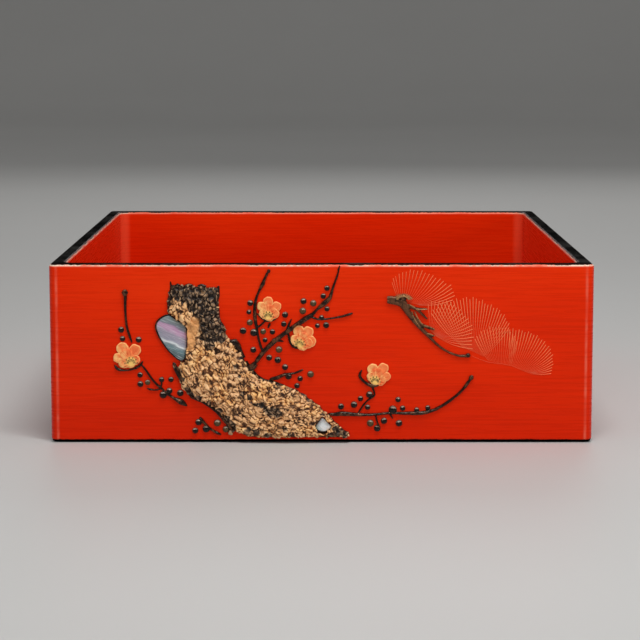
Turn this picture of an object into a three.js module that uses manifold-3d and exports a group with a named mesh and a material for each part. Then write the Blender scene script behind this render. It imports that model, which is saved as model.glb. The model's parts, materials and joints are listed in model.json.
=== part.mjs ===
// Open lacquer box with a raised plum tree and pine branch on its front face.
// Millimetres, +Z up. Origin: centre of the underside. The front face looks along -Y.
import * as THREE from 'three';
import { mergeVertices } from 'three/addons/utils/BufferGeometryUtils.js';
import Module from 'manifold-3d';

// Box, outside and inside
const boxWidth = 220;
const boxDepth = 264;
const boxHeight = 73;
const wallThickness = 6;
const floorThickness = 6;
const outerCornerRadius = 3;
const innerCornerRadius = 5;
const rimRound = 1.5;
const footRound = 2;
const floorFillet = 3;

// Height of each kind of relief over the front face
const trunkRise = 3.2;
const trunkEdgeRise = 0.7;
const branchRise = 0.5;
const branchRoundShare = 0.42;
const pineRise = 0.8;
const pineRoundShare = 0.21;
const blossomRise = 1.1;
const blossomEdgeRise = 0.5;
const stamenRise = 0.35;
const shellRise = 1.9;
const shellEdgeRise = 0.9;
const smallShellRise = 1.4;
const budRise = 1.15;
const budCollarRise = 0.35;

// Gap round an inlay that is let into its neighbour, and how far its cutter runs into the wall
const inlayGap = 0.3;
const cutterDepth = 2 * trunkRise;

// Bark: length of a lump with its hollow, how deep they are cut as a share of the trunk's
// rise, and how far they move its edges
const barkLumpLength = 5.6;
const barkDepthShare = 0.3;
const raggedEdge = 0.45;
const raggedTop = 0.9;

// The picture fills the flat of the front face between the foot and rim roundings.
// Its places and widths are hundredths of its own height, x from the middle, z from its foot,
// and so is the radius of a full-size bud.
const footMargin = 0.2;
const pictureHeight = boxHeight - rimRound - footRound - footMargin;
const unit = pictureHeight / 100;
const budRadiusShare = 1.8;

// Fineness of the faceted surfaces
const cornerSteps = 3;
const roundSteps = 3;
const trunkSteps = 42;
const trunkColumns = 13;
const strokeSides = 4;
const stepsPerPoint = 2;
const rimPoints = 24;
const budSides = 8;

const wasm = await Module();
wasm.setup();

const lacquerRed = new THREE.MeshStandardMaterial({ color: 0xc82604, roughness: 0.18, metalness: 0 });
const bark = new THREE.MeshStandardMaterial({ color: 0xa8703c, roughness: 0.55, metalness: 0 });
const branchLacquer = new THREE.MeshStandardMaterial({ color: 0x2a1a10, roughness: 0.3, metalness: 0.2 });
const budLacquer = new THREE.MeshStandardMaterial({ color: 0x120e0c, roughness: 0.08, metalness: 0 });
const oliveLacquer = new THREE.MeshStandardMaterial({ color: 0x55471f, roughness: 0.15, metalness: 0 });
const blossomCoral = new THREE.MeshStandardMaterial({ color: 0xe8a070, roughness: 0.35, metalness: 0 });
const motherOfPearl = new THREE.MeshStandardMaterial({ color: 0xb4bcc0, roughness: 0.15, metalness: 0.1 });

// Closed skin over a row of rings with as many points each. Both end rings are closed by
// a fan round a middle point, and the triangles are turned to face out.
function loft(rings, startMiddle = middleOf(rings[0]), endMiddle = middleOf(rings.at(-1))) {
  const count = rings[0].length;
  const points = [...rings.flat(), startMiddle, endMiddle];
  const startIndex = points.length - 2;
  const endIndex = points.length - 1;
  const lastRing = (rings.length - 1) * count;
  const triangles = [];
  for (let side = 0; side < count; side += 1) {
    const next = (side + 1) % count;
    for (let ring = 0; ring < rings.length - 1; ring += 1) {
      const here = ring * count;
      const beyond = here + count;
      triangles.push([here + side, here + next, beyond + next]);
      triangles.push([here + side, beyond + next, beyond + side]);
    }
    triangles.push([startIndex, next, side]);
    triangles.push([endIndex, lastRing + side, lastRing + next]);
  }
  let volume = 0;
  for (const [a, b, c] of triangles) {
    volume += points[a].dot(points[b].clone().cross(points[c]));
  }
  const facingOut = volume > 0 ? triangles : triangles.map(([a, b, c]) => [a, c, b]);
  const geometry = new THREE.BufferGeometry().setFromPoints(points);
  geometry.setIndex(facingOut.flat());
  geometry.computeVertexNormals();
  return geometry;
}

function middleOf(ring) {
  const middle = new THREE.Vector3();
  for (const point of ring) {
    middle.add(point);
  }
  return middle.divideScalar(ring.length);
}

// Solids for joining and cutting, and back again
function toSolid(geometry) {
  const bare = geometry.clone();
  bare.deleteAttribute('normal');
  bare.deleteAttribute('uv');
  const merged = mergeVertices(bare);
  return new wasm.Manifold(new wasm.Mesh({
    numProp: 3,
    vertProperties: new Float32Array(merged.attributes.position.array),
    triVerts: new Uint32Array(merged.index.array),
  }));
}

function toGeometry(solid) {
  const mesh = solid.getMesh();
  const geometry = new THREE.BufferGeometry();
  geometry.setAttribute('position', new THREE.BufferAttribute(mesh.vertProperties, 3));
  geometry.setIndex(new THREE.BufferAttribute(mesh.triVerts, 1));
  geometry.computeVertexNormals();
  return geometry;
}

function joined(first, others) {
  return others.map(toSolid).reduce((whole, piece) => whole.add(piece), first);
}

function cutBy(solid, cutters) {
  return cutters.map(toSolid).reduce((rest, cutter) => rest.subtract(cutter), solid);
}

// A point of the picture: x across, z up, lift out of the front face, all in millimetres
function onPanel(x, z, lift) {
  return new THREE.Vector3(x, -lift, z);
}

// The box body: one profile swept round the rounded rectangle, from the middle of the
// underside up the outside, over the rim, down the inside and to the middle of the floor.
// Its front face lies at y = 0 here, where the picture's pieces are seated.
function boxRing(inset, radius, height) {
  const reachX = boxWidth / 2 - inset - radius;
  const reachY = boxDepth / 2 - inset - radius;
  const ring = [];
  for (const [sideX, sideY, start] of [[1, 1, 0], [-1, 1, 0.5], [-1, -1, 1], [1, -1, 1.5]]) {
    for (let step = 0; step <= cornerSteps; step += 1) {
      const angle = Math.PI * (start + step / cornerSteps / 2);
      const x = sideX * reachX + radius * Math.cos(angle);
      const y = sideY * reachY + radius * Math.sin(angle);
      ring.push(new THREE.Vector3(x, y + boxDepth / 2, height));
    }
  }
  return ring;
}

// Rings of a quarter round: inset and height run along an arc about a centre
function quarterRound(centreInset, centreHeight, radius, startTurn, direction, cornerRadius) {
  const rings = [];
  for (let step = 0; step <= roundSteps; step += 1) {
    const angle = Math.PI / 2 * (startTurn + direction * step / roundSteps);
    const inset = centreInset + radius * Math.cos(angle);
    const height = centreHeight + radius * Math.sin(angle);
    rings.push(boxRing(inset, cornerRadius(inset), height));
  }
  return rings;
}

function boxBody() {
  const leastShare = 0.25;
  const cornerRadius = (full, inset) => Math.max(full - inset, full * leastShare);
  const outside = (inset) => cornerRadius(outerCornerRadius, inset);
  const inside = (inset) => cornerRadius(innerCornerRadius, inset - wallThickness);
  const rimInside = wallThickness - rimRound;
  const rimHeight = boxHeight - rimRound;
  const filletInset = wallThickness + floorFillet;
  const filletHeight = floorThickness + floorFillet;
  const rings = [
    ...quarterRound(footRound, footRound, footRound, 3, -1, outside),
    ...quarterRound(rimRound, rimHeight, rimRound, 2, -1, outside),
    ...quarterRound(rimInside, rimHeight, rimRound, 1, -1, () => innerCornerRadius),
    ...quarterRound(filletInset, filletHeight, floorFillet, 2, 1, inside),
  ];
  const underside = new THREE.Vector3(0, boxDepth / 2, 0);
  const floor = new THREE.Vector3(0, boxDepth / 2, floorThickness);
  return loft(rings, underside, floor);
}

// Places along a stroke through [x, z, width] points, with the way across it at each
function stations(route) {
  const points = route.map(([x, z, width]) => new THREE.Vector3(x, width, z).multiplyScalar(unit));
  const curve = new THREE.CatmullRomCurve3(points);
  const steps = (route.length - 1) * stepsPerPoint;
  const rows = [];
  for (let step = 0; step <= steps; step += 1) {
    const place = curve.getPoint(step / steps);
    const along = curve.getTangent(step / steps).setY(0).normalize();
    const end = step === 0 ? -1 : Math.floor(step / steps);
    rows.push({ x: place.x, z: place.z, width: place.y, along, end });
  }
  return rows;
}

// A raised stroke: half-round, and blunt at both ends
function stroke(route, rise = branchRise, roundShare = branchRoundShare) {
  const endShare = 0.45;
  const rings = stations(route).map(({ x, z, width, along, end }) => {
    const share = end === 0 ? 1 : endShare;
    const halfWidth = width / 2 * share;
    const height = (rise + roundShare * width) * share;
    const ring = [];
    for (let side = 0; side <= strokeSides; side += 1) {
      const angle = Math.PI * side / strokeSides;
      const reach = halfWidth * Math.cos(angle);
      const lift = side % strokeSides === 0 ? 0 : height * Math.sin(angle);
      ring.push(onPanel(x - along.z * reach, z + along.x * reach, lift));
    }
    return ring;
  });
  return loft(rings);
}

// A stroke grown by the inlay gap, as a square bar that runs into the wall
function strokeClearance(route) {
  const rings = stations(route).map(({ x, z, width, along, end }) => {
    const reach = width / 2 + inlayGap;
    const endX = x + along.x * inlayGap * end;
    const endZ = z + along.z * inlayGap * end;
    const corners = [
      [reach, cutterDepth], [reach, -cutterDepth], [-reach, -cutterDepth], [-reach, cutterDepth],
    ];
    return corners.map(([aside, depth]) => (
      new THREE.Vector3(endX - along.z * aside, depth, endZ + along.x * aside)
    ));
  });
  return loft(rings);
}

// A bud: a dome in a low collar, its base on the front face
function budDome(size) {
  const radius = budRadiusShare * unit * size;
  const rise = budRise * size;
  const collar = budCollarRise * size;
  const shoulderShare = 0.72;
  const shoulderRiseShare = 0.75;
  const profile = [
    new THREE.Vector2(0, 0),
    new THREE.Vector2(radius, 0),
    new THREE.Vector2(radius, collar),
    new THREE.Vector2(radius * shoulderShare, collar + (rise - collar) * shoulderRiseShare),
    new THREE.Vector2(0, rise),
  ];
  return new THREE.LatheGeometry(profile, budSides).rotateX(Math.PI);
}

// A post round a bud, for the clearance that the branch keeps to it
function budClearance(size) {
  const radius = budRadiusShare * unit * size + inlayGap;
  return new THREE.CylinderGeometry(radius, radius, 2 * cutterDepth, budSides);
}

function seated(geometry, [x, z]) {
  return geometry.translate(x * unit, 0, z * unit);
}

// A domed patch inside a closed rim. The rim is [x, z] points in millimetres, and lift
// gives the height over the front face at a share of the way out to a rim point.
function domedPatch(middle, rim, lift) {
  const shares = [1, 1, 0.84, 0.55, 0.25];
  const rings = shares.map((share, level) => rim.map((point) => {
    const place = middle.clone().lerp(point, share);
    return onPanel(place.x, place.y, level === 0 ? 0 : lift(place, share));
  }));
  return loft(rings, onPanel(middle.x, middle.y, 0), onPanel(middle.x, middle.y, lift(middle, 0)));
}

// The same rim grown by the inlay gap, as an upright prism that runs into the wall
function patchClearance(middle, rim) {
  const rings = [cutterDepth, -cutterDepth].map((depth) => rim.map((point) => {
    const away = point.clone().sub(middle);
    const grown = middle.clone().add(away.setLength(away.length() + inlayGap));
    return new THREE.Vector3(grown.x, depth, grown.y);
  }));
  return loft(rings);
}

// Trunk: rows of left edge and right edge, from its broken top down to the foot
const trunkRows = [
  [-88, 90, -59, 88],
  [-90, 81.5, -60, 79.5],
  [-88, 71.5, -58, 69],
  [-84.5, 57, -55, 60],
  [-83, 44.5, -50, 55],
  [-82.8, 33.5, -47, 50],
  [-79, 26.5, -42.5, 42],
  [-69.5, 21.5, -35.5, 35.5],
  [-62.5, 17.5, -28, 33],
  [-56.5, 10.5, -14.5, 28],
  [-50, 4, -8, 24],
  [-39.5, 0, -2, 19],
  [-12.5, 0, 7.5, 9.5],
  [14.5, 0, 17, 2],
];

function edgeCurve(column) {
  const points = trunkRows.map((row) => new THREE.Vector3(row[column] * unit, 0, row[column + 1] * unit));
  return new THREE.CatmullRomCurve3(points);
}

const leftEdge = edgeCurve(0);
const rightEdge = edgeCurve(2);

// Lumps and hollows of the bark at a place on the front face, from -1 to 1
function barkLump(x, z) {
  const turnX = 2 * Math.PI * x / barkLumpLength;
  const turnZ = 2 * Math.PI * z / barkLumpLength;
  const waver = 2;
  const waverSlowness = 3;
  const across = Math.sin(turnX + waver * Math.sin(turnZ / waverSlowness));
  const along = Math.sin(turnZ + waver * Math.sin(turnX / waverSlowness));
  return across * along;
}

// Both ragged edges at a share of the way down, neither below the picture's foot
function trunkEdges(share) {
  return [leftEdge, rightEdge].map((edge) => {
    const place = edge.getPoint(share);
    place.x += raggedEdge * barkLump(2 * place.x, 2 * place.z);
    place.z = Math.max(place.z, 0);
    return place;
  });
}

// Stubs of broken twigs on both sides of the trunk
const stubs = [
  [[-54, 53, 2.4], [-52, 55.4, 3.2], [-50.6, 56.6, 2.4]],
  [[-86.6, 44.5, 1.6], [-85, 41, 2.6], [-82.5, 37, 3]],
  [[-53.8, 1.6, 1.4], [-52.5, 4, 2.2], [-49.5, 7, 2.6]],
];

function plumTrunk(cutters) {
  const taperShare = 0.12;
  const endHeightShare = 0.35;
  const rings = [];
  for (let step = 0; step <= trunkSteps; step += 1) {
    const share = step / trunkSteps;
    const [left, right] = trunkEdges(share);
    const fromEnd = Math.min(share, 1 - share) / taperShare;
    const taper = Math.min(1, THREE.MathUtils.lerp(endHeightShare, 1, fromEnd));
    const ring = [onPanel(left.x, left.z, 0)];
    for (let column = 0; column <= trunkColumns; column += 1) {
      const place = left.clone().lerp(right, column / trunkColumns);
      if (step === 0 && column > 0 && column < trunkColumns) {
        place.z += raggedTop * barkLump(place.x, place.z);
      }
      const fromMiddle = Math.abs(2 * column / trunkColumns - 1);
      const shoulder = Math.sqrt(1 - fromMiddle ** 3);
      const lump = 1 + barkDepthShare * barkLump(place.x, place.z);
      const lift = trunkEdgeRise + (trunkRise - trunkEdgeRise) * shoulder * taper * lump;
      ring.push(onPanel(place.x, place.z, lift));
    }
    ring.push(onPanel(right.x, right.z, 0));
    rings.push(ring);
  }
  const wood = joined(toSolid(loft(rings)), stubs.map((route) => stroke(route, trunkEdgeRise)));
  return toGeometry(cutBy(wood, cutters));
}

// The trunk's outline grown by the inlay gap, to keep branches clear of it
function trunkClearance() {
  const rings = [];
  for (let step = 0; step <= trunkSteps; step += 1) {
    const [left, right] = trunkEdges(step / trunkSteps);
    const away = right.clone().sub(left).setLength(inlayGap);
    left.sub(away);
    right.add(away);
    rings.push([
      new THREE.Vector3(left.x, cutterDepth, left.z),
      new THREE.Vector3(left.x, -cutterDepth, left.z),
      new THREE.Vector3(right.x, -cutterDepth, right.z),
      new THREE.Vector3(right.x, cutterDepth, right.z),
    ]);
  }
  return loft(rings);
}

// Shells let into the trunk: outline points of each, and its rises
const shells = [
  {
    name: 'shell_large',
    rise: shellRise,
    outline: [
      [-88.5, 72.5], [-93, 71], [-96, 68], [-96.5, 64.5], [-92.5, 56], [-87.5, 49.5],
      [-81.5, 45], [-79.5, 47], [-78.5, 56], [-78.5, 62.5], [-79.5, 66.5], [-84.5, 69.5],
    ],
  },
  {
    name: 'shell_small',
    rise: smallShellRise,
    outline: [[0.5, 12], [4, 8.5], [6, 6.5], [2, 3.5], [-2.5, 4.5], [-3.5, 6.5], [-1.5, 9.5]],
  },
];

function shellShape({ outline }) {
  const points = outline.map(([x, z]) => new THREE.Vector3(x * unit, 0, z * unit));
  const places = new THREE.CatmullRomCurve3(points, true).getPoints(rimPoints).slice(0, rimPoints);
  const middle = middleOf(places);
  return {
    middle: new THREE.Vector2(middle.x, middle.z),
    rim: places.map((place) => new THREE.Vector2(place.x, place.z)),
  };
}

function shell({ outline, rise }) {
  const { middle, rim } = shellShape({ outline });
  const dome = rise - shellEdgeRise;
  return domedPatch(middle, rim, (place, share) => shellEdgeRise + dome * (1 - share ** 2));
}

// Blossoms: middle, radius, and petals as [turn in degrees, reach, size] in shares of the radius
const blossoms = [
  {
    name: 'blossom_left',
    middle: [-113.5, 48.5],
    radius: 8.2,
    petals: [[122, 0.6, 0.45], [34, 0.68, 0.45], [195, 0.66, 0.36], [-28, 0.68, 0.36], [241, 0.6, 0.36]],
  },
  {
    name: 'blossom_upper',
    middle: [-30.5, 75],
    radius: 7.2,
    petals: [[96, 0.72, 0.42], [28, 0.66, 0.42], [150, 0.7, 0.38], [235, 0.32, 0.42], [310, 0.34, 0.42]],
  },
  {
    name: 'blossom_middle',
    middle: [-11, 58.5],
    radius: 7.8,
    petals: [[116, 0.62, 0.44], [51, 0.62, 0.44], [-20, 0.6, 0.46], [185, 0.42, 0.44], [270, 0.4, 0.42]],
  },
  {
    name: 'blossom_right',
    middle: [33, 37.5],
    radius: 7.6,
    petals: [[136, 0.55, 0.44], [48, 0.58, 0.44], [-16, 0.66, 0.36], [280, 0.48, 0.42], [205, 0.45, 0.4]],
  },
];

// How far a blossom reaches from its middle along a turn: the farthest petal edge
function blossomReach({ petals }, turn) {
  const coreShare = 0.45;
  const reaches = petals.map(([petalTurn, reach, size]) => {
    const between = turn - THREE.MathUtils.degToRad(petalTurn);
    const aside = reach * Math.sin(between);
    if (Math.abs(aside) > size || Math.cos(between) < 0) {
      return 0;
    }
    return reach * Math.cos(between) + Math.sqrt(size ** 2 - aside ** 2);
  });
  return Math.max(coreShare, ...reaches);
}

function blossomShape(flower) {
  const middle = new THREE.Vector2(...flower.middle).multiplyScalar(unit);
  const rim = [];
  for (let step = 0; step < rimPoints; step += 1) {
    const turn = 2 * Math.PI * step / rimPoints;
    const reach = blossomReach(flower, turn) * flower.radius * unit;
    rim.push(new THREE.Vector2(Math.cos(turn), Math.sin(turn)).multiplyScalar(reach).add(middle));
  }
  return { middle, rim };
}

// Each petal swells in its own middle, and the stamens stand up in the heart
function blossom(flower) {
  const { middle, rim } = blossomShape(flower);
  const radius = flower.radius * unit;
  const heartShare = 1 / 3;
  const swell = (place) => Math.max(...flower.petals.map(([petalTurn, reach, size]) => {
    const turn = THREE.MathUtils.degToRad(petalTurn);
    const petalMiddle = new THREE.Vector2(Math.cos(turn), Math.sin(turn));
    petalMiddle.multiplyScalar(reach * radius).add(middle);
    return 1 - (place.distanceTo(petalMiddle) / (size * radius)) ** 2;
  }), 0);
  return domedPatch(middle, rim, (place, share) => {
    const heart = stamenRise * Math.max(0, 1 - share / heartShare);
    return blossomEdgeRise + (blossomRise - blossomEdgeRise) * Math.sqrt(swell(place)) + heart;
  });
}

// Branches: strokes as [x, z, width] points, the calyxes that they hold blossoms in, and
// buds as [x, z, size]: fused ones grown out of the wood, olive ones of another lacquer
const branches = [
  {
    name: 'left_upper',
    strokes: [
      [[-114, 86, 2.7], [-114.2, 79.5, 1.8], [-114, 70, 1.6], [-113, 63.5, 1.6], [-110.5, 56, 2]],
    ],
    buds: [[-116.8, 63.6, 1], [-116, 58.4, 0.9], [-106.6, 57.8, 1]],
  },
  {
    name: 'left_lower',
    strokes: [
      [
        [-105.5, 43.5, 1.4], [-102, 39, 1.4], [-98, 33.2, 1.5], [-94, 29.4, 1.6], [-90.3, 26, 1.6],
        [-86, 23, 2.1], [-82, 21, 4], [-78.5, 18.5, 1],
      ],
      [[-94.4, 28.6, 1.2], [-97.7, 28, 1.1], [-102, 29, 1.8]],
      [[-93.8, 29.5, 1.2], [-93.4, 32.5, 1.1], [-92.8, 36, 1.2]],
    ],
    calyxes: [
      [
        [-121, 43.1, 0.9], [-119.1, 40.5, 2.2], [-115.6, 39.7, 1.3], [-111, 40.2, 1.4],
        [-106.5, 42.2, 1.8], [-104.2, 45.2, 1.2],
      ],
    ],
    fused: [[-93.5, 34.2, 0.8], [-89, 27.6, 0.95], [-92.6, 25.2, 1.1]],
    buds: [[-101.6, 32.6, 0.9], [-106, 37, 0.9], [-105.9, 31.6, 1], [-88, 34.3, 0.9], [-82.6, 26.3, 1.1]],
    olive: [0],
  },
  {
    name: 'foot_left',
    strokes: [
      [[-71.3, 12.1, 2.1], [-69.5, 9.5, 2.1], [-66, 5.8, 1.6], [-62.3, 3.2, 1.8], [-58.8, 1.6, 2.1]],
    ],
    fused: [[-72, 9, 1], [-67.6, 5, 1.1]],
    buds: [[-74, 4, 1], [-61, 8.5, 1.15], [-56, 4.8, 1.1]],
    olive: [1, 2],
  },
  {
    name: 'upper',
    strokes: [
      [
        [-40, 42.3, 3.2], [-34.2, 50.2, 3], [-28.5, 56, 3.3], [-21.4, 61.6, 2.9], [-14.3, 66.6, 3.2],
        [-9, 70.3, 3.5], [-5, 73, 2.3], [-2.6, 75.6, 1.8], [1.2, 78.8, 3.3], [4.8, 82.3, 2.7],
        [6.5, 88, 1.6], [9, 95, 1.3], [10.2, 99, 1.1],
      ],
      [
        [-34, 49.5, 1.8], [-36.6, 58, 1.6], [-37.7, 64.4, 1.8], [-38.9, 72.3, 2.6], [-38.3, 80.9, 1.9],
        [-36.4, 86.2, 1.6], [-34.4, 90.2, 2.5], [-32.6, 94.5, 1.7], [-31, 97.8, 2.2],
      ],
      [[-6.5, 71.6, 1.6], [-2.3, 69.8, 1.3], [3.3, 70, 1.3], [12.5, 71.6, 1.4], [18.2, 73.4, 2.3]],
      [[-20.8, 62.6, 1.5], [-18.9, 67, 1.4], [-17.4, 70.1, 1.1]],
      [[-37.6, 64.6, 1.4], [-35.2, 66.6, 1.3], [-32.4, 69, 1.4]],
    ],
    calyxes: [
      [[-37.4, 73.2, 0.9], [-34.7, 70.3, 1.4], [-31.8, 68.9, 1.8], [-28.3, 69.3, 1.4], [-24.8, 72, 0.8]],
      [[-19.4, 62.4, 1.1], [-18.7, 57.9, 1.8], [-16.7, 54, 2], [-12.9, 52.4, 1.2]],
    ],
    fused: [[-39.4, 62, 1.15], [0, 70.8, 0.75]],
    buds: [
      [-10.5, 80.4, 1], [-10.9, 74.7, 1.1], [-21.2, 72.4, 1], [-22, 67, 0.9], [-24.8, 52, 1.1],
      [-30.6, 47.2, 1], [-25.5, 45.8, 1.1], [-21.3, 41.6, 1], [3.2, 88, 0.9], [1, 83.4, 0.9],
      [3.2, 75.9, 0.85], [-41.5, 79.3, 1], [-42.3, 74, 0.8], [-41.8, 67.9, 1], [-45.7, 63, 1.1],
      [-34, 62.6, 0.95], [-32.9, 57.6, 0.8], [-39.8, 51.8, 1], [-2.4, 66, 0.8], [2.7, 66.3, 1],
      [-4.8, 79.2, 1.05], [-28.6, 62.4, 0.9],
    ],
    olive: [1, 4, 13, 15, 20],
  },
  {
    name: 'middle',
    strokes: [
      [[-28.5, 34.6, 2.6], [-25.7, 35.4, 2.6], [-21.5, 37.3, 2], [-15.8, 38, 1.4], [-10.8, 40.2, 2]],
    ],
    fused: [[-19.3, 36.2, 1]],
    buds: [[-12.5, 34.8, 0.9], [-6.4, 37.4, 1.1], [-14.3, 30.6, 0.9]],
    olive: [1],
  },
  {
    name: 'right',
    strokes: [
      [
        [3.8, 14, 2.1], [6.6, 13.6, 2.2], [11.8, 14.1, 3.2], [17.8, 13.7, 2.6], [24.6, 13.4, 2],
        [32.8, 13.7, 1.8], [40.3, 14.5, 1.8], [47.7, 14.3, 2], [52.5, 14.4, 2.5], [58.5, 14.4, 2.7],
        [66.2, 16.4, 2.1], [75.4, 22, 1.9], [82.4, 28.2, 1.8], [88, 36, 2.9],
      ],
      [
        [21.2, 14, 1.4], [24.6, 19.4, 1.2], [27.9, 22.7, 1.2], [31, 25, 1.3], [30.4, 28, 1.3],
        [29, 30.7, 1.4],
      ],
      [[31.7, 13.4, 1.3], [32.8, 8.6, 1.2], [34.4, 5.6, 1.3]],
      [[39.9, 14.2, 1.3], [41.8, 11, 1.3]],
    ],
    calyxes: [
      [
        [23.7, 40.1, 1.3], [22.2, 36.6, 2], [24.9, 33.1, 1.8], [29, 30.7, 2.6], [32.5, 30.9, 1.9],
        [34.8, 32.8, 0.9],
      ],
    ],
    fused: [[28, 25.4, 1], [41.7, 16.4, 1.25], [32.6, 5.4, 1], [62.2, 17.6, 0.75], [55.7, 16.4, 0.75]],
    buds: [
      [11.4, 18.3, 1], [19, 19.4, 1.1], [22.8, 23, 0.9], [27, 17.9, 0.9], [44.8, 22.4, 0.9],
      [47.5, 17.3, 0.9], [28.6, 8.4, 1.15], [36.6, 9.8, 1.05], [45.4, 8.4, 1.1],
    ],
    olive: [6],
  },
];

const pineStrokes = [
  [
    [38.5, 81.5, 2.9], [40.5, 81, 4], [44.2, 80.1, 3.4], [47.5, 78.1, 4.6], [50.2, 74, 4],
    [54.2, 68.6, 2.9], [59.6, 62.8, 2.5], [63.4, 58.8, 1.9], [69.4, 53.3, 1.6], [74.7, 50.2, 1.5],
    [79.8, 48.4, 1.5], [83.6, 48.2, 2.1], [86.8, 48.2, 1.4],
  ],
  [[48, 79, 2.6], [52.2, 76.9, 2.3], [55.6, 75.9, 1.8], [61.3, 76, 1.3]],
  [[53.8, 76.4, 1.5], [56.9, 74.4, 1.5], [61.6, 69.9, 1.7]],
  [[51.5, 72.6, 2.3], [54.9, 69.9, 2], [58.3, 66.6, 2], [62.2, 65, 2], [66, 63.6, 1.4]],
  [[59.9, 62.4, 1.8], [62.2, 61, 1.5], [65.4, 59.6, 1.2]],
];

const pineCap = [47.6, 82.6, 1.25];

// Everything hangs in one group whose own y = 0 is the plane of the front face
const box = new THREE.Group();
box.position.y = -boxDepth / 2;
const picture = new THREE.Group();
picture.position.z = footRound + footMargin;
box.add(picture);

function addPiece(parent, name, geometry, material) {
  const mesh = new THREE.Mesh(geometry, material);
  mesh.name = name;
  parent.add(mesh);
  return mesh;
}

addPiece(box, 'box_body', boxBody(), lacquerRed);

const shellClearances = shells.map((entry) => {
  const { middle, rim } = shellShape(entry);
  return patchClearance(middle, rim);
});
addPiece(picture, 'plum_trunk', plumTrunk(shellClearances), bark);
for (const entry of shells) {
  addPiece(picture, entry.name, shell(entry), motherOfPearl);
}

const blossomClearances = blossoms.map((flower) => {
  const { middle, rim } = blossomShape(flower);
  return patchClearance(middle, rim);
});
const calyxClearances = branches.flatMap(({ calyxes = [] }) => calyxes).map(strokeClearance);
for (const flower of blossoms) {
  const petals = cutBy(toSolid(blossom(flower)), calyxClearances);
  addPiece(picture, flower.name, toGeometry(petals), blossomCoral);
}

// Twigs stop short of the trunk and the blossoms; each calyx keeps its full form, because
// the blossom in it is cut to fit; and separate buds sit in notches of the wood
for (const { name, strokes, calyxes = [], fused = [], buds, olive = [] } of branches) {
  const [mainTwig, ...sideTwigs] = strokes.map((route) => stroke(route));
  const twigs = cutBy(joined(toSolid(mainTwig), sideTwigs), [trunkClearance(), ...blossomClearances]);
  const calyxStrokes = calyxes.map((route) => stroke(route));
  const fusedBuds = fused.map((bud) => seated(budDome(bud[2]), bud));
  const wood = joined(twigs, [...calyxStrokes, ...fusedBuds]);
  const notches = buds.map((bud) => seated(budClearance(bud[2]), bud));
  addPiece(picture, `branch_${name}`, toGeometry(cutBy(wood, notches)), branchLacquer);
  buds.forEach(([x, z, size], index) => {
    const lacquer = olive.includes(index) ? oliveLacquer : budLacquer;
    const bud = addPiece(picture, `bud_${name}_${index + 1}`, budDome(size), lacquer);
    bud.position.set(x * unit, 0, z * unit);
  });
}

const [pineLimb, ...pineTwigs] = pineStrokes.map((route) => stroke(route, pineRise, pineRoundShare));
const pine = joined(toSolid(pineLimb), [...pineTwigs, seated(budDome(pineCap[2]), pineCap)]);
addPiece(picture, 'pine_branch', toGeometry(pine), branchLacquer);

export default box;
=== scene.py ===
"""Dressed model of an open lacquer box. Its front carries a raised plum tree, inlaid blossoms
and shells, glossy buds, and a pine branch with fine gold needles.

Metres, +Z up, the front face looks along -Y, and the box stands on z = 0.
"""
import json
import math

import bmesh
import bpy
from bpy.props import FloatProperty, FloatVectorProperty, IntProperty, PointerProperty
from bpy.types import Operator, Panel, PropertyGroup
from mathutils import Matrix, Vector, noise
from mathutils.bvhtree import BVHTree


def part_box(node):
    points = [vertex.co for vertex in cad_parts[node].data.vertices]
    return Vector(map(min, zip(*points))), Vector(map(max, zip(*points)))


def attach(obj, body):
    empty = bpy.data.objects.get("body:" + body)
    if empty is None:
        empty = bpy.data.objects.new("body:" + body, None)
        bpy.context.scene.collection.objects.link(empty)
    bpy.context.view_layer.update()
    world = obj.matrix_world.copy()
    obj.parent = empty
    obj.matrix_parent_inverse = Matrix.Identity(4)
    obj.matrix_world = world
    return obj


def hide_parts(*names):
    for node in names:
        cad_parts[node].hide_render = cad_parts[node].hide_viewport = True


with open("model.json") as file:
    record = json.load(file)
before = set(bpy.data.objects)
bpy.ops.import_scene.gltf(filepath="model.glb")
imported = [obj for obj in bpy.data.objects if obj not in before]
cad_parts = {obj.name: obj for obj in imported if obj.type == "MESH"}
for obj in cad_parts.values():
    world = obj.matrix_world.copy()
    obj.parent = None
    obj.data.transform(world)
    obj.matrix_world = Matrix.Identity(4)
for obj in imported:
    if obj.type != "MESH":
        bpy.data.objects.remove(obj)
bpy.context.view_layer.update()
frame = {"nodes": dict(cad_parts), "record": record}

bl_info = {
    "name": "Lacquer Box With Plum and Pine",
    "version": (1, 0, 0),
    "blender": (4, 5, 0),
    "location": "3D View > Sidebar > Lacquer Box",
    "description": "Builds the finish and the fine relief of an open lacquer box",
    "category": "Object",
}

# The front face, and the picture on it: places are hundredths of the picture's height,
# x from the middle of the front and z from the picture's foot
box_low, box_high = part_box("box_body")
front = box_low.y
picture_unit = 0.000693
picture_foot = 0.0022
sink = 0.0001


def on_front(x, z, lift=0.0):
    """Point at a place of the picture, lifted out of the front face by metres."""
    return Vector((x * picture_unit, front - lift, picture_foot + z * picture_unit))


def smooth_step(low, high, value):
    """0 below low, 1 above high, and eased between them."""
    share = min(max((value - low) / (high - low), 0.0), 1.0)
    return share * share * (3 - 2 * share)


def colour(name, description, default):
    """Colour property with a default in linear red, green and blue."""
    return FloatVectorProperty(
        name=name, description=description, default=default, subtype="COLOR", min=0.0, max=1.0)


def length(name, description, default):
    """Length property in metres."""
    return FloatProperty(
        name=name, description=description, default=default, min=0.0, unit="LENGTH", precision=5)


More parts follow.
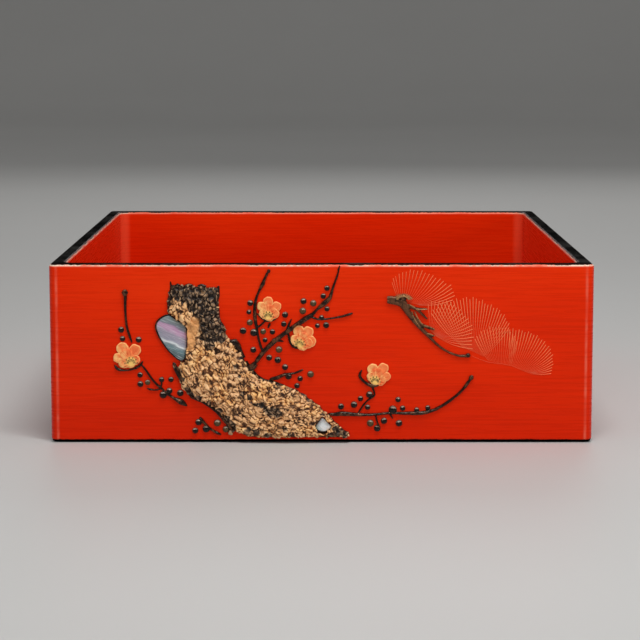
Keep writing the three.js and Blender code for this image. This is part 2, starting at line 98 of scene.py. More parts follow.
class BoxSettings(PropertyGroup):
    """Sizes and colours of the lacquered box."""

    wall: length("Wall", "Thickness of the four walls", 0.006)
    floor: length("Floor", "Thickness of the floor", 0.006)
    outer_corner: length("Outer corner", "Rounding of the upright corners outside", 0.003)
    inner_corner: length("Inner corner", "Rounding of the upright corners inside", 0.005)
    rim_round: length("Rim rounding", "Rounding of both arrises of the rim", 0.0015)
    foot_round: length("Foot rounding", "Rounding of the foot edge", 0.002)
    floor_fillet: length("Floor fillet", "Hollow rounding between the walls and the floor", 0.003)
    red: colour("Vermilion", "Main colour of the lacquer", (0.74, 0.022, 0.001))
    red_light: colour("Light vermilion", "Paler brush streaks", (0.86, 0.040, 0.003))
    red_dark: colour("Dark vermilion", "Darker brush streaks", (0.60, 0.014, 0.001))
    black: colour("Black lacquer", "Rim and foot", (0.0008, 0.0006, 0.0006))
    scuffed: colour("Scuffed lacquer", "Grey scuffs on the rim", (0.030, 0.029, 0.027))
    # Colour of the painted highlight in the rounded inner corners
    corner_highlight: colour("Highlit lacquer", "Lighter red of the inner corners", (0.95, 0.12, 0.05))
    # Pale pink of the painted highlight along the arrises and beside the outer corners
    highlighted: colour("Highlighted edge", "Lacquer rubbed thin along the arrises", (0.90, 0.27, 0.17))
    worn: colour("Worn edge", "Pale ground where the edges are worn", (0.93, 0.74, 0.58))


class TrunkSettings(PropertyGroup):
    """Sizes and colours of the plum trunk's bark."""

    fineness: length("Fineness", "Edge length of the trunk's mesh", 0.00027)
    lump_length: length("Lump length", "Length of one lump of bark", 0.0021)
    lump_width: length("Lump width", "Width of one lump of bark", 0.0014)
    lump_depth: length("Lump depth", "Depth of the hollows between the lumps", 0.00105)
    raggedness: length("Raggedness", "How far the outline strays", 0.0006)
    seed: IntProperty(name="Seed", description="Which pattern the lumps take", default=1, min=1)
    wood: colour("Bark", "Tan of the lumps", (0.74, 0.38, 0.16))
    # Partly a painted highlight on the crests, also the light patches
    wood_light: colour("Light bark", "Crests of the lumps", (0.96, 0.60, 0.31))
    # Partly painted shade in the hollows
    hollow: colour("Hollow", "Hollows between the lumps", (0.030, 0.011, 0.005))
    soot: colour("Black bark", "Blackened stretches of the bark", (0.010, 0.008, 0.008))


class ShellSettings(PropertyGroup):
    """Sizes and colours of the two shell inlays."""

    seam: length("Seam", "Radius of the dark seam round a shell", 0.00032)
    teal: colour("Teal", "Blue-green bands", (0.13, 0.24, 0.27))
    violet: colour("Violet", "Pink-violet bands", (0.60, 0.34, 0.52))
    silver: colour("Silver", "Bright bands", (0.86, 0.92, 0.94))


class BlossomSettings(PropertyGroup):
    """Sizes and colours of the inlaid blossoms."""

    rise: length("Petal rise", "Height of the uppermost petal over the front face", 0.0011)
    edge: length("Petal edge", "Height of a petal's edge", 0.0005)
    cream: colour("Cream", "Pale petals", (0.96, 0.50, 0.18))
    coral: colour("Coral", "Flushed petals", (0.92, 0.22, 0.07))
    heart: colour("Heart", "Yellow heart of a blossom", (0.90, 0.60, 0.17))
    vein: colour("Vein", "Fine veins of the petals", (0.68, 0.05, 0.01))
    stamen: colour("Stamen", "Dark stamens", (0.012, 0.006, 0.003))


class BranchSettings(PropertyGroup):
    """Sizes and colours of the raised twigs and the pine wood."""

    fineness: length("Fineness", "Edge length of the twigs' mesh", 0.0002)
    knots: length("Knots", "How far knots swell out of a twig", 0.00016)
    wood: colour("Twig", "Black-brown lacquer of the twigs", (0.007, 0.0035, 0.0025))
    bronze: colour("Bronze", "Worn stretches of the twigs", (0.16, 0.065, 0.03))
    gold: colour("Gold dust", "Gold dust on ridges of the pine wood", (0.44, 0.24, 0.10))


class BudSettings(PropertyGroup):
    """Sizes and colours of the buds."""

    steps: IntProperty(name="Steps", description="Sides of a bud", default=20, min=8, max=64)
    collar_share: FloatProperty(
        name="Collar share", description="Height of the collar as a share of the bud's rise",
        default=0.26, min=0.0, max=1.0, subtype="FACTOR")
    black: colour("Black bud", "Glossy black lacquer", (0.003, 0.003, 0.003))
    olive: colour("Olive bud", "Glossy olive-brown lacquer", (0.055, 0.036, 0.014))
    # Pale colour of the painted highlight on the upper side of a bud
    highlighted: colour("Highlighted crown", "Upper side of a bud, rubbed pale", (0.50, 0.38, 0.30))
    collar: colour("Collar", "Bronze ring at the foot of a bud", (0.11, 0.04, 0.015))


class NeedleSettings(PropertyGroup):
    """Sizes and colours of the pine needles."""

    tip: length("Tip", "Radius of a needle at its outer end", 0.00014)
    base_share: FloatProperty(
        name="Base share", description="Radius at the inner end as a share of the tip's",
        default=0.6, min=0.0, max=1.0, subtype="FACTOR")
    gold: colour("Gold line", "Outer ends of the needles", (0.96, 0.27, 0.10))
    faint: colour("Faint line", "Inner ends of the needles", (0.84, 0.09, 0.025))


class StageSettings(PropertyGroup):
    """Camera and floor."""

    lens: FloatProperty(
        name="Lens", description="Focal length", default=124.8, min=1.0, unit="CAMERA")
    camera_place: FloatVectorProperty(
        name="Camera place", description="Where the camera stands",
        default=(0.0, -1.020, 0.1665), subtype="TRANSLATION", unit="LENGTH")
    camera_turn: FloatVectorProperty(
        name="Camera turn", description="How the camera is turned",
        default=(math.radians(82.542), 0.0, 0.0007), subtype="EULER", unit="ROTATION")
    floor: colour("Floor", "Pale studio floor", (0.58, 0.575, 0.56))


SETTINGS = {
    "box_body_settings": BoxSettings,
    "trunk_settings": TrunkSettings,
    "shell_settings": ShellSettings,
    "blossom_settings": BlossomSettings,
    "branch_settings": BranchSettings,
    "bud_settings": BudSettings,
    "needle_settings": NeedleSettings,
    "stage_settings": StageSettings,
}


# Material nodes

class Pattern:
    """What a node of a material gives out, ready for sums with numbers and other patterns."""

    def __init__(self, tree, socket):
        self.tree = tree
        self.socket = socket

    def reckoned(self, operation, other=0.0):
        """One sum with another value."""
        return add_node(self.tree, "ShaderNodeMath", {0: self, 1: other}, operation=operation)

    def __add__(self, other):
        return self.reckoned("ADD", other)

    def __sub__(self, other):
        return self.reckoned("SUBTRACT", other)

    def __mul__(self, other):
        return self.reckoned("MULTIPLY", other)

    def __abs__(self):
        return self.reckoned("ABSOLUTE")

    def eased(self, low, high, to_low=0.0, to_high=1.0, way="SMOOTHSTEP"):
        """Value brought from one range into another."""
        inputs = {0: self, 1: low, 2: high, 3: to_low, 4: to_high}
        return add_node(self.tree, "ShaderNodeMapRange", inputs, interpolation_type=way)


def set_input(socket, value):
    """Links a pattern to a socket or sets a constant there, a colour with full alpha."""
    if isinstance(value, Pattern):
        value.tree.links.new(value.socket, socket)
    elif socket.type == "RGBA":
        socket.default_value = (*value, 1.0)
    else:
        socket.default_value = value


def add_node(tree, kind, inputs, output=0, **settings):
    """Pattern from a new node, with its settings made and its inputs set."""
    made = tree.nodes.new(kind)
    for name, value in settings.items():
        setattr(made, name, value)
    for name, value in inputs.items():
        set_input(made.inputs[name], value)
    return Pattern(tree, made.outputs[output])


def painted(material, **values):
    """The material with its shader's sockets set or linked, named with _ for a space."""
    shader = material.node_tree.nodes["Principled BSDF"]
    for name, value in values.items():
        set_input(shader.inputs[name.replace("_", " ")], value)
    return material


def new_finish(name, **constants):
    """Material with its shader's constants set, and the object coordinates that it reads."""
    material = bpy.data.materials.new(name)
    material.use_nodes = True
    painted(material, **constants)
    return material, add_node(material.node_tree, "ShaderNodeTexCoord", {}, "Object")


def toned(rgb, times):
    """Colour made lighter or darker."""
    return tuple(min(1.0, times * part) for part in rgb)


def stretched(vector, scale, location=(0, 0, 0), rotation=(0, 0, 0)):
    """Vector moved, turned and scaled for a pattern."""
    inputs = {"Vector": vector, "Location": location, "Rotation": rotation, "Scale": scale}
    return add_node(vector.tree, "ShaderNodeMapping", inputs)


def apart(vector):
    """The x, y and z of a vector."""
    parts = add_node(vector.tree, "ShaderNodeSeparateXYZ", {0: vector})
    return [Pattern(vector.tree, socket) for socket in parts.socket.node.outputs]


def mottle(vector, scale=1.0, detail=3.0, roughness=0.5, distortion=0.0):
    """Noise from 0 to 1."""
    inputs = {"Vector": vector, "Scale": scale, "Detail": detail,
              "Roughness": roughness, "Distortion": distortion}
    return add_node(vector.tree, "ShaderNodeTexNoise", inputs)


def tinted(share, under, over, way="MIX"):
    """One colour laid over another by a share."""
    inputs = {0: share, 6: under, 7: over}
    return add_node(share.tree, "ShaderNodeMix", inputs, 2, data_type="RGBA", blend_type=way)


def banded(value, stops):
    """Colour ramp through places and colours."""
    ramp = add_node(value.tree, "ShaderNodeValToRGB", {0: value})
    elements = ramp.socket.node.color_ramp.elements
    while len(elements) < len(stops):
        elements.new(0.5)
    for element, (place, rgb) in zip(elements, stops):
        element.position = place
        element.color = (*rgb, 1.0)
    return ramp


def relief(height, depth):
    """Normal with a pattern's fine relief, depth in metres."""
    inputs = {"Height": height, "Distance": depth, "Strength": 1.0}
    return add_node(height.tree, "ShaderNodeBump", inputs)


def kept_value(place, name):
    """A value that the mesh keeps at each of its points."""
    return add_node(place.tree, "ShaderNodeAttribute", {}, "Fac", attribute_name=name)


# Pieces

def new_object(name, shape, materials):
    """Object in the scene from a shape or a ready mesh, with smooth faces."""
    if isinstance(shape, bmesh.types.BMesh):
        mesh = bpy.data.meshes.new(name)
        shape.to_mesh(mesh)
        shape.free()
    else:
        mesh = shape
        mesh.name = name
        mesh.materials.clear()
    if not mesh.polygons:
        raise RuntimeError(f"{name} has no faces")
    for each in materials:
        mesh.materials.append(each)
    mesh.polygons.foreach_set("use_smooth", [True] * len(mesh.polygons))
    made = bpy.data.objects.new(name, mesh)
    bpy.context.scene.collection.objects.link(made)
    return made


def finished(name, shape, materials, nodes=()):
    """Piece that rides on the box and stands for the CAD nodes named."""
    piece = new_object(name, shape, materials)
    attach(piece, "root")
    if nodes:
        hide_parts(*nodes)
    return piece


def merged_copy(node):
    """The CAD node's shape with its loose triangles joined up."""
    shape = bmesh.new()
    shape.from_mesh(frame["nodes"][node].data)
    bmesh.ops.remove_doubles(shape, verts=shape.verts, dist=1e-6)
    bmesh.ops.dissolve_degenerate(shape, edges=shape.edges, dist=1e-6)
    return shape


def evaluated(piece):
    """Mesh of an object with its modifiers or curve bevel made real, and the object removed."""
    bpy.context.scene.collection.objects.link(piece)
    depsgraph = bpy.context.evaluated_depsgraph_get()
    mesh = bpy.data.meshes.new_from_object(piece.evaluated_get(depsgraph))
    bpy.data.objects.remove(piece)
    return mesh


def finely_meshed(shape, fineness):
    """The same solid as an even, fine mesh, reaching a little into the wall."""
    for vert in shape.verts:
        if vert.co.y > front - fineness / 10:
            vert.co.y = front + 3 * fineness
    mesh = bpy.data.meshes.new("rough")
    shape.to_mesh(mesh)
    shape.free()
    rough = bpy.data.objects.new("rough", mesh)
    remesh = rough.modifiers.new("Even mesh", "REMESH")
    remesh.mode = "VOXEL"
    remesh.voxel_size = fineness
    remesh.adaptivity = 0.0
    fine = bmesh.new()
    fine.from_mesh(evaluated(rough))
    bmesh.ops.smooth_vert(
        fine, verts=fine.verts, factor=0.5, use_axis_x=True, use_axis_y=True, use_axis_z=True)
    return fine


def seated_on_wall(shape):
    """Cuts the shape off just inside the wall and closes it there."""
    everything = [*shape.verts, *shape.edges, *shape.faces]
    bmesh.ops.bisect_plane(
        shape, geom=everything, dist=1e-7, plane_co=(0, front + sink, 0), plane_no=(0, 1, 0),
        clear_outer=True)
    rim = [edge for edge in shape.edges if edge.is_boundary]
    bmesh.ops.triangle_fill(shape, use_beauty=True, edges=rim, normal=(0, 1, 0))
    bmesh.ops.recalc_face_normals(shape, faces=shape.faces)
    return shape


def swollen(shape, move_at):
    """Moves the points that stand out of the wall, and seats the shape on the wall."""
    shape.normal_update()
    moves = []
    for vert in shape.verts:
        lift = front - vert.co.y
        moves.append(move_at(vert, lift) if lift >= 0 else Vector())
    for vert, move in zip(shape.verts, moves):
        vert.co += move
    return seated_on_wall(shape)


def turned_round(shape, places, middle, axis, steps, near):
    """Turns a line of places all the way round an axis, and merges what lies near."""
    before = set(shape.verts)
    first = [shape.verts.new(place) for place in places]
    edges = [shape.edges.new(pair) for pair in zip(first, first[1:])]
    bmesh.ops.spin(
        shape, geom=first + edges, cent=middle, axis=axis, dvec=(0, 0, 0),
        angle=math.tau, steps=steps, use_merge=True, use_normal_flip=False, use_duplicate=False)
    made = [vert for vert in shape.verts if vert not in before]
    bmesh.ops.remove_doubles(shape, verts=made, dist=near)
    return [vert for vert in shape.verts if vert not in before]


def spun(shape, profile, middle, steps):
    """Solid turned round an axis straight out of the front face, from (reach, lift) points."""
    places = [middle + Vector((reach, -lift, 0)) for reach, lift in profile]
    return turned_round(shape, places, middle, (0, 1, 0), steps, 1e-7)


def strokes_mesh(name, strokes, sides=0, closed=False):
    """Round strokes, each a list of (place, radius)."""
    line = bpy.data.curves.new(name, "CURVE")
    line.dimensions = "3D"
    line.bevel_depth = 1.0
    line.bevel_resolution = sides
    line.use_fill_caps = True
    for points in strokes:
        spline = line.splines.new("POLY")
        spline.points.add(len(points) - 1)
        spline.use_cyclic_u = closed
        for point, (place, radius) in zip(spline.points, points):
            point.co = (*place, 1.0)
            point.radius = radius
    return evaluated(bpy.data.objects.new(name, line))


def stroke_piece(name, strokes, sides, material, closed=False):
    """Piece made of round strokes."""
    return finished(name, strokes_mesh(name, strokes, sides, closed), [material])


# The box

def rounded_loop(shape, inset, radius, height):
    """Closed loop of edges on a rounded rectangle, and the face inside it."""
    width = box_high.x - box_low.x - 2 * inset
    depth = box_high.y - box_low.y - 2 * inset
    corners = bmesh.ops.create_grid(shape, x_segments=1, y_segments=1, size=0.5)["verts"]
    bmesh.ops.scale(shape, vec=(width, depth, 1), verts=corners)
    bmesh.ops.translate(shape, vec=(0, 0, height), verts=corners)
    rounded = bmesh.ops.bevel(
        shape, geom=corners, offset=radius, offset_type="OFFSET", affect="VERTICES",
        segments=10, profile=0.5, material=-1)
    face = next(iter(rounded["verts"][0].link_faces))
    return list(face.edges), face


def rounded_edges(shape, edges, radius):
    """Rounds a loop of edges."""
    kept = [edge for edge in edges if edge.is_valid]
    bmesh.ops.bevel(
        shape, geom=kept, offset=radius, offset_type="OFFSET", affect="EDGES", segments=8,
        profile=0.5, material=-1, clamp_overlap=False)


def lacquered_box_shape(settings):
    """Open box with a flat rim, rounded arrises and a hollow fillet at its floor."""
    shape = bmesh.new()
    height = box_high.z
    foot, _ = rounded_loop(shape, 0.0, settings.outer_corner, 0.0)
    outer, outer_face = rounded_loop(shape, 0.0, settings.outer_corner, height)
    inner, inner_face = rounded_loop(shape, settings.wall, settings.inner_corner, height / 2)
    floor, _ = rounded_loop(shape, settings.wall, settings.inner_corner, settings.floor)
    bmesh.ops.delete(shape, geom=[outer_face, inner_face], context="FACES_ONLY")
    for lower, upper in ((foot, outer), (outer, inner), (inner, floor)):
        bmesh.ops.bridge_loops(shape, edges=lower + upper)
    inner_verts = list({vert for edge in inner for vert in edge.verts})
    bmesh.ops.translate(shape, vec=(0, 0, height / 2), verts=inner_verts)
    bmesh.ops.recalc_face_normals(shape, faces=shape.faces)
    rounded_edges(shape, foot, settings.foot_round)
    rounded_edges(shape, outer, settings.rim_round)
    rounded_edges(shape, inner, settings.rim_round)
    rounded_edges(shape, floor, settings.floor_fillet)
    flat_top, black_foot = height - 0.1 * settings.rim_round, 0.7 * settings.foot_round
    for face in shape.faces:
        if not black_foot <= face.calc_center_median().z <= flat_top:
            face.material_index = 1
    return shape


# Lines under the rim, for a painted highlight, for wear and for black lacquer, each from where it
# starts to where it is full, in metres down
HIGHLIGHT_LINE = (0.00145, 0.00095)
WORN_LINE = (0.00100, 0.00080)
BLACK_LINE = (0.00062, 0.00045)
# The black line at the foot, from where it starts to fade to where it ends
BLACK_FOOT = (0.0011, 0.0015)
# How far the black lines waver up and down
WAVER = 0.00025


def under_rim(height, line):
    """Share of a line under the rim, from nothing under it to all of it above."""
    return height.eased(box_high.z - line[0], box_high.z - line[1])


def lacquer_finish(settings):
    """Brushed vermilion lacquer, worn along the arrises, black under the rim and at the foot, with
    painted highlights along the arrises and in the corners and painted shade towards the foot.
    """
    material, place = new_finish(
        "vermilion_lacquer_finish", Coat_Weight=0.05, Coat_Roughness=0.12,
        Specular_Tint=(1.0, 0.16, 0.08))
    across, deep, height = apart(place)
    side, far = abs(across), abs(deep)
    rim = box_high.z
    streaks = mottle(stretched(place, (50, 50, 1300)), detail=4.0, roughness=0.6)
    clouds = mottle(stretched(place, (9, 9, 30)), detail=2.0)
    chips = mottle(place, 900.0, 4.0, 0.65)
    runs = mottle(place, 120.0, 3.0, 0.6)
    ragged = (chips + runs) * 0.5

    # Inside the box, where the side walls are plainer and lighter than the front
    inner_x, inner_y = box_high.x - settings.wall, box_high.y - settings.wall
    starts, ends = 0.0012, 0.0025
    inside = (side.eased(inner_x + starts, inner_x + ends, 1.0, 0.0)
              * far.eased(inner_y + starts, inner_y + ends, 1.0, 0.0))
    along_side = inside * side.eased(inner_x - 0.003, inner_x - 0.0005)
    brushing = streaks * along_side.eased(0.0, 1.0, 0.29, 0.10) + along_side * 0.12
    # Painted light and shade: the tone grows lighter towards the rim and darker towards the foot
    tone = brushing + height.eased(0.0, rim, -0.14, 0.10) + clouds * 0.5
    finish = banded(tone, [
        (0.22, settings.red_dark), (0.46, settings.red), (0.74, settings.red_light)])

    # Painted highlight: a pale pink band just under the rim all round the box, broken by noise
    rim_highlight = under_rim(height, HIGHLIGHT_LINE) * runs.eased(0.25, 0.6, 0.35, 1.0)
    toward_corners = side.eased(0.092, 0.105, 0.0, 0.10)
    worn = ragged + toward_corners - inside * 0.11
    worn_rim = under_rim(height, WORN_LINE) * worn.eased(0.47, 0.56)
    # Painted highlight: a broken pale upright line where the outer corners start to round
    start_round = box_high.x - settings.outer_corner
    upright = abs(side - start_round).eased(0.00005, 0.0009, 0.34, 0.0)
    upright *= runs.eased(0.36, 0.62, 0.35, 1.0)
    wavy = height + ragged.eased(0.35, 0.7, -WAVER, WAVER)
    black_foot = wavy.eased(*BLACK_FOOT, 1.0, 0.0)
    # Painted highlight: the rounded inner corners made a lighter red
    in_corner = inner_x + inner_y
    rounded = (side + far).eased(in_corner - 0.0056, in_corner - 0.0030)
    layers = [
        (rounded * inside * 0.5, settings.corner_highlight), (rim_highlight, settings.highlighted),
        (upright, settings.highlighted), (worn_rim, settings.worn),
        (black_foot.reckoned("MAXIMUM", under_rim(wavy, BLACK_LINE)), settings.black)]
    for share, rgb in layers:
        finish = tinted(share, finish, rgb)
    gloss = streaks.eased(0.3, 0.75, 0.24, 0.34) + worn_rim * 0.3
    return painted(
        material, Base_Color=finish, Roughness=gloss, Normal=relief(brushing, 0.000018))


def black_edge_finish(settings):
    """Black lacquer of the rim's flat top and of the foot, the rim scuffed grey by use."""
    material, place = new_finish("black_edge_finish", IOR=1.01)
    scuffs = mottle(place, 700.0, 5.0, 0.7)
    drift = mottle(place, 60.0)
    above_foot = apart(place)[2].eased(0.001, 0.01)
    share = (scuffs * 0.6 + drift * 0.4).eased(0.46, 0.62) * above_foot
    return painted(
        material, Base_Color=tinted(share, settings.black, settings.scuffed),
        Roughness=scuffs.eased(0.3, 0.7, 0.4, 0.6), Normal=relief(scuffs, 0.00002))


# The trunk

TRUNK_MIDDLE = [
    (-74, 92), (-74, 72), (-69, 58), (-64, 47), (-58, 38), (-48, 27), (-36, 17), (-22, 11),
    (-5, 5), (18, 1),
]

# Blackened stretches as (x, z, radius)
SOOT = [
    (-84.9, 87.5, 4.7), (-79.1, 87.5, 6.5), (-73.3, 86.3, 7.1), (-67.4, 86.3, 7.1),
    (-61.0, 86.9, 4.1), (-70.4, 81.0, 7.1), (-66.9, 74.5, 6.5), (-62.8, 70.4, 5.3),
    (-66.4, 65.0, 4.7), (-65.8, 59.1, 4.1), (-64.7, 54.4, 3.0), (-60.0, 63.3, 4.1),
    (-58.2, 58.5, 2.4), (-88.5, 82.8, 1.8), (-89.1, 79.2, 1.8), (-89.1, 75.7, 1.8),
    (-87.3, 86.9, 2.4), (-85.8, 43.2, 1.8), (-83.5, 39.6, 2.4), (-81.2, 34.9, 2.1),
    (-78.3, 29.0, 1.8), (-76.0, 25.4, 2.4), (-71.3, 23.1, 2.1), (-66.0, 20.7, 1.8),
    (-60.2, 16.0, 1.8), (-55.5, 11.2, 2.4), (-52.6, 7.1, 3.0), (-52.0, 3.6, 2.4),
    (-31.4, 16.6, 2.4), (-27.9, 15.4, 3.0), (-25.0, 14.8, 2.1), (-46.1, 26.6, 1.8),
    (-42.5, 24.3, 1.8), (-38.4, 20.1, 2.1), (-34.9, 19.5, 1.8), (-21.4, 5.3, 2.4),
    (-43.8, 3.6, 3.0), (-37.9, 3.0, 2.4), (-31.4, 1.8, 2.4), (-18.5, 1.8, 1.8),
    (-50.1, 42.6, 1.5), (-47.8, 36.7, 1.2), (-51.2, 56.8, 1.8), (-48.9, 53.2, 1.8),
    (-46.0, 47.3, 1.5), (-42.5, 44.4, 1.5), (-39.0, 39.0, 1.5), (-33.7, 34.9, 1.2),
    (-28.4, 33.7, 1.2), (8.5, 5.3, 2.4), (10.9, 3.0, 2.4), (13.8, 1.8, 2.1), (5.0, 0.6, 1.8),
    (0.3, 10.1, 1.8), (3.2, 7.7, 1.8),
]

# Bare stretch beside the large shell, as (x, z, radius)
BARE = [(-75.7, 64.5, 4.1), (-76.4, 58.5, 3.5), (-77.0, 54.4, 2.4), (-73.4, 68.0, 3.0)]


def along_trunk(place):
    """Distance down the trunk and across it, in metres, at a place on the front."""
    best = None
    covered = 0.0
    for start, end in zip(TRUNK_MIDDLE, TRUNK_MIDDLE[1:]):
        first, last = on_front(*start), on_front(*end)
        way = last - first
        reach = way.length
        way /= reach
        offset = place - first
        share = min(max(offset.dot(way), 0.0), reach)
        aside = offset.x * way.z - offset.z * way.x
        away = Vector((offset.x - way.x * share, offset.z - way.z * share)).length
        if best is None or away < best[0]:
            best = (away, covered + share, aside)
        covered += reach
    return best[1], best[2]


def spotted(place, spots):
    """How far a place lies inside a patch of spots that run into each other, from 0 to 1."""
    x = place.x / picture_unit
    z = (place.z - picture_foot) / picture_unit
    total = 0.0
    for spot in spots:
        share = ((x - spot[0]) ** 2 + (z - spot[1]) ** 2) / spot[2] ** 2
        if share < 6:
            total += math.exp(-share)
    return smooth_step(0.15, 0.85, total)

def bark_at(place, settings):
    """Lump height from 0 in a hollow to 1 on a crest, and the lump's own tone."""
    down, across = along_trunk(place)

    def rough(down_scale, across_scale, layer):
        return noise.noise(Vector((down * down_scale, across * across_scale, layer)))

    waver = noise.noise_vector(Vector((down * 230, across * 230, 0.5))) * 0.8
    cell = Vector((down / settings.lump_length, across / settings.lump_width, 0.0)) + waver
    gaps, seeds = noise.voronoi(cell)
    own = 0.5 + 0.5 * noise.noise(seeds[0] * 7.3)
    lean = (cell - seeds[0]).dot(Vector((math.cos(19 * own), math.sin(19 * own), 0)))
    grain = rough(1500, 1900, 1.5)
    coarse = rough(620, 900, 4.5)
    gap = smooth_step(-0.04, 0.20 + 0.16 * coarse, gaps[1] - gaps[0] + 0.12 * grain)
    pit = smooth_step(0.16, 0.42, rough(520, 760, 8.5))
    dome = 1 - min(gaps[0], 1.0) ** 2
    lump = 0.50 + 0.22 * dome + 0.40 * lean + 0.2 * (own - 0.5) + 0.40 * coarse
    height = gap * lump - 0.45 * pit
    return min(max(height + 0.16 * gap * grain, 0.0), 1.0), own


def bark_shape(settings):
    """Trunk with lumps and hollows, and how light, black or bare it is at each point."""
    noise.seed_set(settings.seed)
    shape = finely_meshed(merged_copy("plum_trunk"), settings.fineness)
    crest = shape.verts.layers.float.new("crest")
    tone = shape.verts.layers.float.new("tone")
    soot = shape.verts.layers.float.new("soot")
    bare = shape.verts.layers.float.new("bare")
    level, calming = 0.6, 0.6

    def lump_move(vert, lift):
        height, own = bark_at(vert.co, settings)
        vert[bare] = spotted(vert.co, BARE)
        height += (level - height) * calming * vert[bare]
        vert[crest] = height
        vert[tone] = own
        vert[soot] = spotted(vert.co, SOOT)
        ease = smooth_step(0.0, 0.0008, lift)
        move = vert.normal * (settings.lump_depth * (height - 0.5) * ease)
        ragged = noise.noise_vector(Vector((vert.co.x * 520, 0.3, vert.co.z * 520)))
        ragged.y = 0
        return move + ragged * settings.raggedness

    return swollen(shape, lump_move)


def bark_finish(settings):
    """Tan lumps with peach crests and dark hollows, blackened in stretches; the crests' light and
    the hollows' dark are partly painted highlight and shade.
    """
    material, place = new_finish("bark_finish", Specular_IOR_Level=0.35)
    grain = mottle(place, 1700.0, 4.0, 0.65)
    patches = mottle(place, 240.0)
    own = kept_value(place, "tone")
    crest = kept_value(place, "crest") + grain.eased(0.3, 0.7, -0.15, 0.15)
    # Painted highlight and shade by lump height: dark in the hollows, peach on the crests, over the
    # bark's tan
    tan = banded(crest, [
        (0.08, settings.hollow), (0.26, toned(settings.wood, 0.40)),
        (0.46, settings.wood), (0.80, settings.wood_light)])
    tan = tinted(own.eased(0.4, 0.75, 0.0, 0.3), tan, (0.40, 0.17, 0.07))
    tan = tinted(patches.eased(0.45, 0.7, 0.0, 0.6), tan, settings.wood_light, "SOFT_LIGHT")
    # The blackened bark's ramp also paints the crests lighter and the hollows darker
    ash = banded(crest, [
        (0.2, (0.003, 0.002, 0.002)), (0.45, settings.soot), (0.62, (0.07, 0.05, 0.035)),
        (0.9, (0.40, 0.24, 0.13))])
    blackened = kept_value(place, "soot") + own.eased(0.3, 0.7, -0.3, 0.3)
    blackened += grain.eased(0.3, 0.7, -0.25, 0.25)
    finish = tinted(blackened.eased(0.35, 0.65, 0.0, 0.95), tan, ash)
    bare = kept_value(place, "bare") * grain.eased(0.35, 0.6, 0.5, 0.9)
    finish = tinted(bare, finish, (0.72, 0.33, 0.11))
    # Painted shade: the bark darkens to the hollows' colour where it meets the wall
    outline = apart(place)[1].eased(front - 0.0012, front - 0.0004, 0.0, 0.92)
    return painted(
        material, Base_Color=tinted(outline, finish, settings.hollow),
        Roughness=grain.eased(0.3, 0.7, 0.32, 0.55), Normal=relief(grain, 0.00012))


# The shells: reach is half a shell's length, and heavy the side where its seam is thickest

SHELLS = {
    "large": {
        "node": "shell_large", "middle": (-87.1, 60.5), "turn": -24, "reach": 13.0,
        "heavy": 160},
    "small": {
        "node": "shell_small", "middle": (0.8, 7.5), "turn": -55, "reach": 5.2,
        "heavy": 250},
}
SEAM_LIFT = 0.0007


def pearl_finish(name, shell, settings, stops):
    """Polished shell whose bands run across it and shimmer along their length."""
    material, place = new_finish(
        f"pearl_{name}_finish", Roughness=0.16, Coat_Weight=1.0, Coat_Roughness=0.04,
        Metallic=0.25, Specular_IOR_Level=0.7)
    scale = 1 / (shell["reach"] * picture_unit)
    moved = stretched(place, (1, 1, 1), location=tuple(-on_front(*shell["middle"])))
    local = stretched(
        moved, (scale, scale, scale), rotation=(0.0, math.radians(shell["turn"]), 0.0))
    ripple = mottle(stretched(local, (1.1, 1.1, 3.0)), detail=4.0, distortion=0.3)
    climb = apart(local)[2] + ripple.eased(0.2, 0.8, -0.07, 0.07)
    bands = banded(climb.eased(-1.0, 1.0, way="LINEAR"), stops)
    streaks = mottle(stretched(local, (2.2, 2.2, 26.0)), detail=4.0, distortion=0.4)
    bands = tinted(streaks.eased(0.48, 0.75, 0.0, 0.5), bands, settings.silver)
    bands = tinted(streaks.eased(0.25, 0.45, 0.6, 0.0), bands, settings.teal)
    return painted(material, Base_Color=bands, Normal=relief(streaks, 0.00002))


def seam_stroke(shape, heavy, thickness):
    """Stroke round the shell's outline, thickest on its heavy side, and over the wall."""
    rim = [vert.co.copy() for vert in shape.verts if vert.co.y > front - 1e-5]
    middle = sum(rim, Vector()) / len(rim)
    rim = [place for place in rim if (place - middle).length > 0.0005]
    rim.sort(key=lambda place: math.atan2(place.z - middle.z, place.x - middle.x))
    points = []
    for place in rim:
        turn = math.atan2(place.z - middle.z, place.x - middle.x) - math.radians(heavy)
        weight = 0.5 + 0.5 * math.cos(turn)
        points.append((place + Vector((0, -SEAM_LIFT, 0)), thickness * (0.35 + 0.85 * weight)))
    return points


# The blossoms: middle, radius, heart, and petals as (turn in degrees, reach, size)

BLOSSOMS = {
    "left": {
        "middle": (-113.5, 48.5), "radius": 8.2, "heart": (-111.1, 44.9),
        "petals": [(122, 0.6, 0.45), (34, 0.68, 0.45), (195, 0.66, 0.36), (-28, 0.64, 0.38),
                   (246, 0.5, 0.46), (292, 0.5, 0.46)],
    },
    "upper": {
        "middle": (-30.5, 75), "radius": 7.2, "heart": (-31.1, 72),
        "petals": [(96, 0.72, 0.42), (28, 0.66, 0.42), (150, 0.7, 0.38), (214, 0.46, 0.46),
                   (326, 0.46, 0.46), (270, 0.44, 0.48)],
    },
    "middle": {
        "middle": (-11, 58.5), "radius": 7.8, "heart": (-12.9, 55.6),
        "petals": [(116, 0.62, 0.44), (51, 0.62, 0.44), (-20, 0.6, 0.46), (196, 0.5, 0.46),
                   (270, 0.46, 0.46), (318, 0.5, 0.42)],
    },
    "right": {
        "middle": (33, 37.5), "radius": 7.6, "heart": (31.2, 33.7),
        "petals": [(136, 0.55, 0.44), (48, 0.58, 0.44), (-16, 0.66, 0.36), (292, 0.5, 0.44),
                   (205, 0.5, 0.42), (248, 0.48, 0.46)],
    },
}


# How far under its full rise a blossom's lowest petal lies
LOWEST_PETAL = 0.00035


